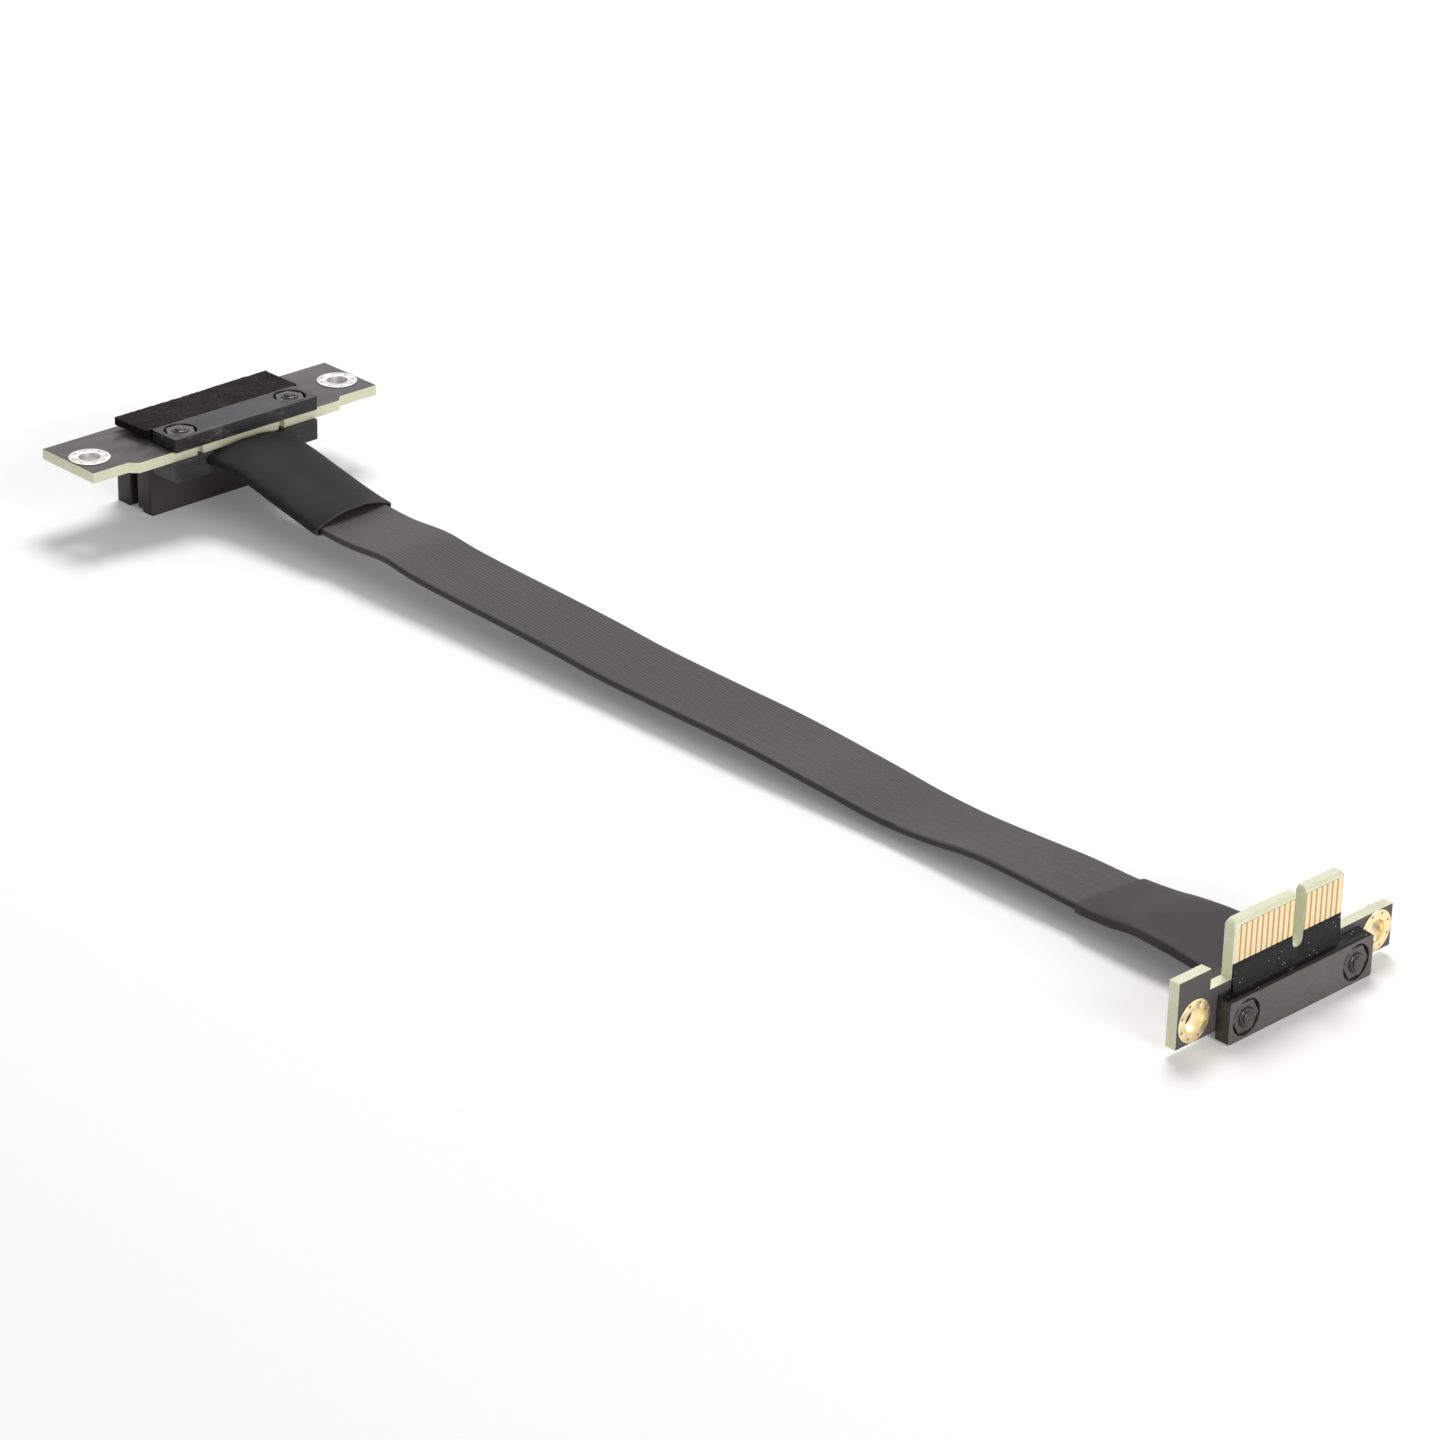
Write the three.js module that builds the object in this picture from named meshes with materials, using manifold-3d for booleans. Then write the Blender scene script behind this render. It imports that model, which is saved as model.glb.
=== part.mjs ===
import * as THREE from 'three';
import { mergeVertices } from 'three/addons/utils/BufferGeometryUtils.js';
import Module from 'manifold-3d';

// Flat ribbon riser for a one-lane card slot, in millimetres with +Z up. A slot end lies flat with its
// socket facing down, a plug end stands on edge with its contact tab facing up, and a ribbon joins them
// along X. Both boards are centred on Y = 0, and the whole stands on Z = 0.

// Clearances
const SEAT = 0.05; // between flat faces that bear on each other
const PASS = 0.3; // round a piece that runs through another
const CELL_GAP = 0.15; // beside a contact in its cell
const THREAD_GAP = 0.25; // between a screw and its nut, threads left out

// Lay-out
const RUN = 201.6; // clear ribbon length between the slot board's edge and the plug board's back
const CLAMP_U = 0.3; // how far each of these sits off the slot board's centre line
const RIBBON_U = 0.65;
const SOCKET_U = 0.6;
const TAB_U = -0.6;
const PLUG_U = -0.25;
const BOARD_T = 1.6;

// Ribbon and its sleeves
const RIBBON_W = 12.6;
const RIBBON_T = 1.1;
const RIBBON_EDGE = 0.3; // corner cut of the ribbon's section
const SLEEVE_WALL = 0.3;
const SLEEVE_EDGE = 0.95; // half thickness at a sleeve's sides
const SLEEVE_SHOULDER = 0.62; // share of the half width where the crown begins
const SLEEVE_FLAT = 0.25; // share of the half width that stays level on top
const SLOT_SLEEVE_W = 14.1;
const SLOT_SLEEVE_CROWN = 1.9;
const SLOT_SLEEVE_L = 23.8;
const PLUG_SLEEVE_W = 13.6;
const PLUG_SLEEVE_CROWN = 0.98;
const PLUG_SLEEVE_L = 24.4;
const SLEEVE_END_GAP = 0.3;

// Clamp: two bars, two nuts pressed into one of them and two screws through both
const BAR_L = 26.9;
const BAR_W = 5.75;
const BAR_CORNER = 0.4;
const NUT_BAR_T = 2.1;
const HEAD_BAR_T = 3.1;
const SCREW_IN = 3.15; // screw's distance from the bar's end
const SCREW_R = 1.0;
const SCREW_HEAD_R = 1.9;
const SCREW_HEAD_H = 1.3;
const SCREW_TIP = 0.25; // chamfer at the screw's end
const RECESS_W = 0.6; // cross recess in the head
const RECESS_L = 2.2;
const RECESS_H = 0.7;
const NUT_CORNER_R = 2.35;
const NUT_SIDES = 6;
const NUT_SINK = 0.1; // nut's top below the bar's face
const HEAD_SINK = 0.15;

// Slot board
const SLOT_BOARD_W = 53.4;
const SLOT_BOARD_D = 12.4;
const SLOT_BAR_OVERHANG = 0.75; // bars stand proud of the board's middle edge
const STEP = 1.2; // middle of the board's edge stands proud of its ends
const STEP_IN = 7.9; // step's distance from the board's ends
const TONGUE_U = -0.4; // the proud middle sits off the board's centre line
const NOTCH_IN = 3.2; // notch's inner side from the screw's line
const NOTCH_W = 1.1;
const NOTCH_D = 1;
const SLOT_HOLE_IN = 3.3; // hole centre from the board's end
const SLOT_HOLE_SET = 5.35; // hole centre from the edge of the board's ends

// Socket
const HOUSING_END = 2.35; // housing beyond the tab's width at either end
const HOUSING_W = 8.6;
const HOUSING_H = 11.2;
const HOUSING_SET = 5.95; // housing's face from the edge of the board's ends
const HOUSING_CORNER = 0.3;
const PITCH = 1;
const SHORT_BANK = 7;
const LONG_BANK = 11;
const KEY_GAP = 3; // from the last contact of one bank to the first of the other
const TAB_END = 0.65; // from an outer contact's centre to the tab's side
const CARD_SLOT_W = 1.8;
const CARD_SLOT_D = 8.6;
const CARD_SIDE_GAP = 0.2;
const MOUTH = 0.3;
const KEY_W = 1.65;
const STEP_NOTCH_W = 1.1; // small rebate beside the open end of the card slot
const STEP_NOTCH_H = 0.5;
const STEP_NOTCH_L = 1.2;
const CELL_D = 1.1;
const CELL_FLOOR = 0.9;
const CONTACT_W = 0.3;
const CONTACT_T = 0.22;
const CONTACT_REACH = 0.28; // contact point stands this far into the card slot
const CONTACT_BOW = 0.35; // stem's jog away from the card slot
const CONTACT_KNEE = 2.2; // jog begins this far below the board
const CONTACT_KNEE_H = 0.8;
const CONTACT_BEND_H = 5.4; // heights above the socket's mouth
const CONTACT_POINT_H = 3.1;
const CONTACT_POINT_FLAT = 0.4;
const CONTACT_TOE_H = 1.2;
const TAIL_SET = 1.25; // tail's distance from the card slot's middle
const TAIL_SHORT = 0.1; // tail's end below the board's top

// Foam pad
const FOAM_L = 28.4;
const FOAM_D = 7.5;
const FOAM_GAP = 0.15;
const FOAM_LIFT = 0.7; // left end has come up off the board
const FOAM_LIFT_L = 3.6;
const FOAM_SAG = 0.25; // lift half-way along the curled length
const FOAM_TOP_DROP = 0.15;

// Plug board
const PLUG_EAR_W = 6.65; // board beyond either end of the bars
const PLUG_BAR_OVERHANG = 1.2;
const LEFT_EAR_H = 10.25; // heights above the bars' lower edge
const RIGHT_EAR_H = 7.05;
const EAR_GAP_FLOOR = 7.45;
const EAR_GAP_W = 3.85;
const TAB_TOP = 15.25;
const TAB_CORNER = 0.5;
const TAB_BEVEL_H = 0.8;
const TAB_BEVEL_T = 0.3;
const KEY_NOTCH_W = 1.9;
const KEY_NOTCH_FLOOR = 7.55;
const FINGER_W = 0.7;
const FINGER_LOW = 9.45;
const FINGER_TOP = 14.35;
const FINGER_SHORT = 1.05; // how much shorter the two presence fingers are
const FINGER_T = 0.06;
const PLUG_HOLE_IN = 3.05; // hole centre from the board's end
const PLUG_HOLE_SET = 3; // hole centre above the board's lower edge

// Plated mounting holes
const HOLE_R = 1.6;
const BARREL_T = 0.15;
const LAND_T = 0.06;
const SLOT_LAND_R = 3.1;
const PLUG_LAND_R = 2.88;
const VIAS = 8;
const VIA_R = 0.2;
const VIA_RING_SHARE = 0.5; // vias lie half-way across the land
const BARREL_SIDES = 40;

// Glue along the top of the plug's front bar
const GLUE_L = 20;
const GLUE_H = 3.3;
const GLUE_D = 1.9;
const GLUE_SLOPE = [[0, 1], [0.08, 0.95], [0.16, 0.55], [0.35, 0.28], [1, 0.08], [1, 0]]; // shares of both

// Route of the ribbon: distance along X, then the height of its near and of its far edge
const ROUTE = [
  [-99.5, 10.4, 10.4],
  [-94.0, 10.4, 10.4],
  [-89.5, 9.8, 10.0],
  [-82.0, 8.35, 8.6],
  [-76.0, 7.2, 7.45],
  [-70.0, 6.2, 6.6],
  [-64.0, 5.95, 6.3],
  [-56.0, 6.35, 6.7],
  [-50.0, 5.65, 6.15],
  [-42.0, 5.25, 5.75],
  [-30.0, 4.9, 5.35],
  [-20.0, 4.5, 4.95],
  [-10.0, 3.95, 4.35],
  [4.0, 3.8, 4.05],
  [18.0, 3.7, 3.85],
  [34.0, 2.95, 2.9],
  [44.0, 2.5, 2.1],
  [52.0, 2.9, 1.9],
  [61.0, 3.9, 2.2],
  [70.0, 3.85, 2.6],
  [79.0, 3.6, 2.65],
  [84.0, 3.75, 3.05],
  [88.5, 4.25, 3.7],
  [93.0, 4.1, 4.1],
  [96.5, 3.8, 4.15],
  [100.0, 3.4, 3.75],
  [104.0, 2.9, 2.95],
  [106.5, 2.88, 2.88],
];
const RIBBON_STEPS = 72;
const SLEEVE_STEPS = 12;

// Places that follow from the sizes above
const length = NUT_BAR_T + BOARD_T + RUN + STEP + HOUSING_SET + HOUSING_W;
const plugFaceX = length / 2 - NUT_BAR_T;
const slotEdgeX = plugFaceX - BOARD_T - RUN;
const slotBarX = slotEdgeX + SLOT_BAR_OVERHANG;
const slotTopZ = HOUSING_H + SEAT + BOARD_T;
const slotEndsV = SLOT_BAR_OVERHANG + STEP;
const barMidV = BAR_W / 2;
const headBarW = -BOARD_T - SEAT - HEAD_BAR_T;
const nutR = NUT_CORNER_R + CELL_GAP;
const nutBore = SCREW_R + THREAD_GAP;
const screwHoleR = SCREW_R + PASS;
const screwUs = [CLAMP_U - BAR_L / 2 + SCREW_IN, CLAMP_U + BAR_L / 2 - SCREW_IN];
const housingMidV = slotEndsV + HOUSING_SET + HOUSING_W / 2;
const housingLow = -slotTopZ;
const bankSpan = (LONG_BANK - 1 + SHORT_BANK - 1) * PITCH + KEY_GAP;
const firstFingerU = TAB_U - bankSpan / 2;
const keyNotchU = firstFingerU + (LONG_BANK - 1) * PITCH + KEY_GAP / 2;
const plugHoleV = PLUG_BAR_OVERHANG + PLUG_HOLE_SET;
const slotHoleV = slotEndsV + SLOT_HOLE_SET;
const slotHoleU = SLOT_BOARD_W / 2 - SLOT_HOLE_IN;
const stepHalf = SLOT_BOARD_W / 2 - STEP_IN;
const plugHalf = BAR_L / 2 + PLUG_EAR_W;
const plugHoleU = plugHalf - PLUG_HOLE_IN;
const windowW = RIBBON_W + 2 * PASS;
const windowT = RIBBON_T + 2 * PASS;

// Distances of the contacts along their row: the long bank, the key gap, the short bank
function contactPlaces() {
  const places = [];
  for (let i = 0; i < LONG_BANK; i += 1) places.push(i * PITCH);
  for (let i = 0; i < SHORT_BANK; i += 1) places.push((LONG_BANK - 1) * PITCH + KEY_GAP + i * PITCH);
  return places;
}

// Joining and cutting of closed solids
const wasm = await Module();
wasm.setup();

function toSolid(geometry) {
  const bare = geometry.clone();
  bare.deleteAttribute('normal');
  bare.deleteAttribute('uv');
  const merged = mergeVertices(bare, 1e-5);
  return new wasm.Manifold(new wasm.Mesh({
    numProp: 3,
    vertProperties: Float32Array.from(merged.attributes.position.array),
    triVerts: Uint32Array.from(merged.index.array),
  }));
}

function toGeometry(solid) {
  const mesh = solid.getMesh();
  const geometry = new THREE.BufferGeometry();
  geometry.setAttribute('position', new THREE.BufferAttribute(mesh.vertProperties, 3));
  geometry.setIndex(new THREE.BufferAttribute(mesh.triVerts, 1));
  const flat = geometry.toNonIndexed();
  flat.computeVertexNormals();
  return flat;
}

function cut(geometry, tools) {
  const body = tools.reduce((solid, tool) => solid.subtract(toSolid(tool)), toSolid(geometry));
  return toGeometry(body);
}

function join(geometry, additions) {
  const body = additions.reduce((solid, addition) => solid.add(toSolid(addition)), toSolid(geometry));
  return toGeometry(body);
}

// Shapes in an end's own frame: u across the board, v in from the clamp's outer edge, w out of the face
// that carries the nuts
function block(u0, u1, v0, v1, w0, w1) {
  const geometry = new THREE.BoxGeometry(u1 - u0, v1 - v0, w1 - w0);
  return geometry.translate((u0 + u1) / 2, (v0 + v1) / 2, (w0 + w1) / 2);
}

function outline(points) {
  return new THREE.Shape(points.map(([x, y]) => new THREE.Vector2(x, y)));
}

function plate(shape, w0, w1, curveSegments = 10) {
  const geometry = new THREE.ExtrudeGeometry(shape, { depth: w1 - w0, bevelEnabled: false, curveSegments });
  return geometry.translate(0, 0, w0);
}

function rounded(u0, u1, v0, v1, r) {
  const shape = new THREE.Shape();
  shape.moveTo(u0 + r, v0).lineTo(u1 - r, v0);
  shape.absarc(u1 - r, v0 + r, r, -Math.PI / 2, 0).lineTo(u1, v1 - r);
  shape.absarc(u1 - r, v1 - r, r, 0, Math.PI / 2).lineTo(u0 + r, v1);
  shape.absarc(u0 + r, v1 - r, r, Math.PI / 2, Math.PI).lineTo(u0, v0 + r);
  shape.absarc(u0 + r, v0 + r, r, Math.PI, Math.PI * 1.5);
  return shape;
}

function roundHole(u, v, r) {
  return new THREE.Path().absarc(u, v, r, 0, Math.PI * 2, true);
}

function rod(u, v, r, w0, w1, sides = 20) {
  const geometry = new THREE.CylinderGeometry(r, r, w1 - w0, sides).rotateX(Math.PI / 2);
  return geometry.translate(u, v, (w0 + w1) / 2);
}

const U = new THREE.Vector3(1, 0, 0);
const V = new THREE.Vector3(0, 1, 0);
const W = new THREE.Vector3(0, 0, 1);

// A profile of [v, w] points drawn out along u
function alongU(profile, u0, u1) {
  const geometry = new THREE.ExtrudeGeometry(outline(profile), { depth: u1 - u0, bevelEnabled: false });
  return geometry.applyMatrix4(new THREE.Matrix4().makeBasis(V, W, U)).translate(u0, 0, 0);
}

// A profile of [w, u] points drawn out along v
function alongV(profile, v0, v1) {
  const geometry = new THREE.ExtrudeGeometry(outline(profile), { depth: v1 - v0, bevelEnabled: false });
  return geometry.applyMatrix4(new THREE.Matrix4().makeBasis(W, U, V)).translate(0, v0, 0);
}

// Finishes
function finish(color, roughness, metalness = 0) {
  return new THREE.MeshStandardMaterial({ color, roughness, metalness });
}

const boardMask = finish(0x56534f, 0.5);
const barComposite = finish(0x4a4848, 0.55);
const blackSteel = finish(0x2c2a2a, 0.35, 0.8);
const housingPlastic = finish(0x34312f, 0.45);
const contactGold = finish(0xd8b25c, 0.25, 1);
const tinPlate = finish(0xd9d7d2, 0.3, 0.9);
const goldPlate = finish(0xf0cd85, 0.3, 0.9);
const foamRubber = finish(0x352d29, 0.95);
const shrinkTube = finish(0x3f3d3e, 0.5);
const ribbonJacket = finish(0x5d5a5a, 0.6);
const glueBlack = finish(0x171515, 0.15);

function piece(name, geometry, material) {
  const mesh = new THREE.Mesh(geometry, material);
  mesh.name = name;
  return mesh;
}

// Bar that holds the nuts, on the board's outer face
function nutBar(name) {
  const shape = rounded(CLAMP_U - BAR_L / 2, CLAMP_U + BAR_L / 2, 0, BAR_W, BAR_CORNER);
  shape.holes = screwUs.map((u) => roundHole(u, barMidV, nutR));
  return piece(name, plate(shape, SEAT, SEAT + NUT_BAR_T), barComposite);
}

// Bar that takes the screw heads, on the board's other face; openings are cut for the ribbon
function headBar(name, ribbonCut) {
  const shape = rounded(CLAMP_U - BAR_L / 2, CLAMP_U + BAR_L / 2, 0, BAR_W, BAR_CORNER);
  shape.holes = screwUs.map((u) => roundHole(u, barMidV, screwHoleR));
  const bar = plate(shape, headBarW, headBarW + HEAD_BAR_T);
  const seatR = SCREW_HEAD_R + PASS;
  const seatTop = headBarW + HEAD_SINK + SCREW_HEAD_H + SEAT;
  const seats = screwUs.map((u) => rod(u, barMidV, seatR, headBarW - 1, seatTop, 28));
  return piece(name, cut(bar, [...seats, ribbonCut]), barComposite);
}

function nut(name, u) {
  const corners = Array.from({ length: NUT_SIDES }, (_, i) => {
    const angle = (i * 2 * Math.PI) / NUT_SIDES;
    return [u + NUT_CORNER_R * Math.cos(angle), barMidV + NUT_CORNER_R * Math.sin(angle)];
  });
  const shape = outline(corners);
  shape.holes = [roundHole(u, barMidV, nutBore)];
  return piece(name, plate(shape, SEAT * 2, SEAT + NUT_BAR_T - NUT_SINK, 8), blackSteel);
}

// Screw with a cross recess, from its sunk head up into the nut
function screw(name, u) {
  const low = headBarW + HEAD_SINK;
  const top = SEAT + NUT_BAR_T - NUT_SINK;
  const neck = low + SCREW_HEAD_H;
  const profile = [
    [0, low],
    [SCREW_HEAD_R, low],
    [SCREW_HEAD_R, neck],
    [SCREW_R, neck],
    [SCREW_R, top - SCREW_TIP],
    [SCREW_R - SCREW_TIP, top],
    [0, top],
  ].map(([r, w]) => new THREE.Vector2(r, w));
  const body = new THREE.LatheGeometry(profile, 20).rotateX(Math.PI / 2).translate(u, barMidV, 0);
  const half = RECESS_L / 2;
  const slim = RECESS_W / 2;
  const recess = [
    block(u - half, u + half, barMidV - slim, barMidV + slim, low - 1, low + RECESS_H),
    block(u - slim, u + slim, barMidV - half, barMidV + half, low - 1, low + RECESS_H),
  ];
  return piece(name, cut(body, recess), blackSteel);
}

// Copper barrel and lands of a plated mounting hole, with a ring of vias through the lands
function holePlating(name, u, v, landR, material) {
  const barrelR = HOLE_R + BARREL_T;
  const top = SEAT + LAND_T;
  const low = -BOARD_T - SEAT - LAND_T;
  const profile = [
    [HOLE_R, low],
    [landR, low],
    [landR, low + LAND_T],
    [barrelR, low + LAND_T],
    [barrelR, top - LAND_T],
    [landR, top - LAND_T],
    [landR, top],
    [HOLE_R, top],
    [HOLE_R, low],
  ].map(([r, w]) => new THREE.Vector2(r, w));
  const ring = new THREE.LatheGeometry(profile, BARREL_SIDES).rotateX(Math.PI / 2).translate(u, v, 0);
  const viaRing = HOLE_R + (landR - HOLE_R) * VIA_RING_SHARE + BARREL_T;
  const vias = Array.from({ length: VIAS }, (_, i) => {
    const angle = ((i + 0.5) * 2 * Math.PI) / VIAS;
    return rod(u + viaRing * Math.cos(angle), v + viaRing * Math.sin(angle), VIA_R, low - 1, top + 1, 8);
  });
  return piece(name, cut(ring, vias), material);
}

// Hole in a board for the plated barrel
function barrelHole(u, v) {
  return roundHole(u, v, HOLE_R + BARREL_T + SEAT);
}

// Slot end

function slotBoard() {
  const half = SLOT_BOARD_W / 2;
  const edge = SLOT_BAR_OVERHANG;
  const back = slotEndsV + SLOT_BOARD_D;
  const notchIn = BAR_L / 2 - SCREW_IN - NOTCH_IN;
  const side = (s) => [
    [s * half, back],
    [s * half, slotEndsV],
    [TONGUE_U + s * (stepHalf + STEP), slotEndsV],
    [TONGUE_U + s * stepHalf, edge],
    [TONGUE_U + s * (notchIn + NOTCH_W), edge],
    [TONGUE_U + s * (notchIn + NOTCH_W), edge + NOTCH_D],
    [TONGUE_U + s * notchIn, edge + NOTCH_D],
    [TONGUE_U + s * notchIn, edge],
  ];
  const shape = outline([...side(-1), ...side(1).reverse()]);
  shape.holes = [
    barrelHole(-slotHoleU, slotHoleV),
    barrelHole(slotHoleU, slotHoleV),
    ...screwUs.map((u) => roundHole(u, barMidV, screwHoleR)),
  ];
  const board = plate(shape, -BOARD_T, 0, BARREL_SIDES / 2);
  const tailR = Math.hypot(CONTACT_W, CONTACT_T) / 2 + CELL_GAP;
  const tailHoles = [-1, 1].flatMap((s) => slotContactUs().map((u) => (
    rod(u, housingMidV + s * TAIL_SET, tailR, -BOARD_T - 1, 1, 8))));
  return piece('slot_board', cut(board, tailHoles), boardMask);
}

// The socket faces down, so its long bank lies on the right, the mirror of the plug's
function slotContactUs() {
  return contactPlaces().map((place) => SOCKET_U + bankSpan / 2 - place);
}

function slotHousing() {
  const contactUs = slotContactUs();
  const tabLeft = contactUs.at(-1) - TAB_END;
  const tabRight = contactUs[0] + TAB_END;
  const left = tabLeft - HOUSING_END;
  const right = tabRight + HOUSING_END;
  const v0 = housingMidV - HOUSING_W / 2;
  const top = -BOARD_T - SEAT;
  const foot = rounded(left, right, v0, v0 + HOUSING_W, HOUSING_CORNER);
  const shell = plate(foot, housingLow, top, 2);
  const keyU = (contactUs[LONG_BANK - 1] + contactUs[LONG_BANK]) / 2;
  const slotHalf = CARD_SLOT_W / 2;
  const lead = (u0, u1) => alongU([
    [housingMidV - slotHalf - MOUTH, housingLow - SEAT],
    [housingMidV + slotHalf + MOUTH, housingLow - SEAT],
    [housingMidV + slotHalf, housingLow + MOUTH],
    [housingMidV - slotHalf, housingLow + MOUTH],
  ], u0, u1);
  const stretches = [
    [left - 1, keyU - KEY_W / 2],
    [keyU + KEY_W / 2, tabRight + CARD_SIDE_GAP],
  ];
  const tools = stretches.flatMap(([u0, u1]) => [
    block(u0, u1, housingMidV - slotHalf, housingMidV + slotHalf, housingLow - 1, housingLow + CARD_SLOT_D),
    lead(u0, u1),
  ]);
  const rebateV = housingMidV - slotHalf;
  tools.push(block(left - 1, left + STEP_NOTCH_L, rebateV - STEP_NOTCH_W, rebateV + SEAT, housingLow - 1,
    housingLow + STEP_NOTCH_H));
  const cellHalf = CONTACT_W / 2 + CELL_GAP;
  [-1, 1].forEach((s) => contactUs.forEach((u) => {
    const near = housingMidV + s * (slotHalf - SEAT);
    const far = housingMidV + s * (slotHalf + CELL_D);
    tools.push(block(u - cellHalf, u + cellHalf, Math.min(near, far), Math.max(near, far),
      housingLow + CELL_FLOOR, top + 1));
  }));
  return piece('slot_housing', cut(shell, tools), housingPlastic);
}

// One stamped contact: a tail through the board, a stem and a sprung beam that bows into the card slot
function slotContact(name, u, s) {
  const slotHalf = CARD_SLOT_W / 2;
  const stem = TAIL_SET + CONTACT_T / 2;
  const point = slotHalf - CONTACT_REACH;
  const knee = -BOARD_T - CONTACT_KNEE;
  const outer = [
    [stem, -TAIL_SHORT],
    [stem, knee],
    [stem + CONTACT_BOW, knee - CONTACT_KNEE_H],
    [stem + CONTACT_BOW, housingLow + CONTACT_BEND_H],
    [point + CONTACT_T, housingLow + CONTACT_POINT_H + CONTACT_POINT_FLAT / 2],
    [point + CONTACT_T, housingLow + CONTACT_POINT_H - CONTACT_POINT_FLAT / 2],
    [stem, housingLow + CONTACT_TOE_H],
  ];
  const inner = outer.map(([d, w]) => [d - CONTACT_T, w]);
  const loop = [...outer, ...inner.reverse()].map(([d, w]) => [housingMidV + s * d, w]);
  return piece(name, alongU(loop, u - CONTACT_W / 2, u + CONTACT_W / 2), contactGold);
}

// Soft pad over the soldered tails, its left end curled up off the board
function foamPad() {
  const left = CLAMP_U - FOAM_L / 2;
  const right = CLAMP_U + FOAM_L / 2;
  const low = SEAT;
  const top = SEAT + NUT_BAR_T;
  const profile = [
    [low, left + FOAM_LIFT_L],
    [low, right],
    [top, right],
    [top, left + FOAM_LIFT_L],
    [top - FOAM_TOP_DROP, left],
    [low + FOAM_LIFT, left],
    [low + FOAM_SAG, left + FOAM_LIFT_L / 2],
  ];
  return piece('slot_foam_pad', alongV(profile, BAR_W + FOAM_GAP, BAR_W + FOAM_GAP + FOAM_D), foamRubber);
}

function slotEnd() {
  const end = new THREE.Group();
  const channelTop = -BOARD_T - SEAT;
  const channel = block(RIBBON_U - windowW / 2, RIBBON_U + windowW / 2, -1, BAR_W + 1,
    channelTop - windowT, channelTop + 1);
  end.add(slotBoard(), slotHousing(), foamPad());
  slotContactUs().forEach((u, i) => {
    const number = String(i + 1).padStart(2, '0');
    end.add(slotContact(`slot_contact_a${number}`, u, 1), slotContact(`slot_contact_b${number}`, u, -1));
  });
  end.add(nutBar('slot_top_bar'), headBar('slot_bottom_bar', channel));
  ['left', 'right'].forEach((side, i) => {
    const holeU = i ? slotHoleU : -slotHoleU;
    end.add(nut(`slot_nut_${side}`, screwUs[i]), screw(`slot_screw_${side}`, screwUs[i]));
    end.add(holePlating(`slot_hole_plating_${side}`, holeU, slotHoleV, SLOT_LAND_R, tinPlate));
  });
  end.position.set(slotBarX, 0, slotTopZ);
  end.rotation.z = Math.PI / 2;
  return end;
}

// Plug end

function plugBoard() {
  const left = PLUG_U - plugHalf;
  const right = PLUG_U + plugHalf;
  const tabLeft = firstFingerU - TAB_END;
  const tabRight = firstFingerU + bankSpan + TAB_END;
  const keyR = KEY_NOTCH_W / 2;
  const shape = new THREE.Shape();
  shape.moveTo(left, PLUG_BAR_OVERHANG).lineTo(right, PLUG_BAR_OVERHANG).lineTo(right, RIGHT_EAR_H);
  shape.lineTo(tabRight, RIGHT_EAR_H).lineTo(tabRight, TAB_TOP - TAB_CORNER);
  shape.lineTo(tabRight - TAB_CORNER, TAB_TOP).lineTo(keyNotchU + keyR, TAB_TOP);
  shape.lineTo(keyNotchU + keyR, KEY_NOTCH_FLOOR + keyR);
  shape.absarc(keyNotchU, KEY_NOTCH_FLOOR + keyR, keyR, 0, Math.PI, true);
  shape.lineTo(keyNotchU - keyR, TAB_TOP).lineTo(tabLeft + TAB_CORNER, TAB_TOP);
  shape.lineTo(tabLeft, TAB_TOP - TAB_CORNER).lineTo(tabLeft, EAR_GAP_FLOOR);
  shape.lineTo(tabLeft - EAR_GAP_W, EAR_GAP_FLOOR).lineTo(tabLeft - EAR_GAP_W, LEFT_EAR_H);
  shape.lineTo(left, LEFT_EAR_H);
  shape.holes = [
    barrelHole(PLUG_U - plugHoleU, plugHoleV),
    barrelHole(PLUG_U + plugHoleU, plugHoleV),
    ...screwUs.map((u) => roundHole(u, barMidV, screwHoleR)),
  ];
  const bevel = (face, inward) => alongU([
    [TAB_TOP - TAB_BEVEL_H, face],
    [TAB_TOP, face + inward * TAB_BEVEL_T],
    [TAB_TOP + 1, face + inward * TAB_BEVEL_T],
    [TAB_TOP + 1, face - inward],
    [TAB_TOP - TAB_BEVEL_H, face - inward],
  ], tabLeft - 1, tabRight + 1);
  const blank = cut(plate(shape, -BOARD_T, 0, BARREL_SIDES / 2), [bevel(0, -1), bevel(-BOARD_T, 1)]);
  return piece('plug_board', join(blank, fingers()), boardMask);
}

// Plated fingers on both faces; the first one in front and the last but one behind are short
function fingers() {
  const root = BOARD_T / 2;
  const last = LONG_BANK + SHORT_BANK - 1;
  return contactPlaces().flatMap((place, i) => {
    const u = firstFingerU + place;
    const frontTop = FINGER_TOP - (i === 0 ? FINGER_SHORT : 0);
    const backTop = FINGER_TOP - (i === last - 1 ? FINGER_SHORT : 0);
    return [
      block(u - FINGER_W / 2, u + FINGER_W / 2, FINGER_LOW, frontTop, -root, FINGER_T),
      block(u - FINGER_W / 2, u + FINGER_W / 2, FINGER_LOW, backTop, -BOARD_T - FINGER_T, -root),
    ];
  });
}

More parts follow.
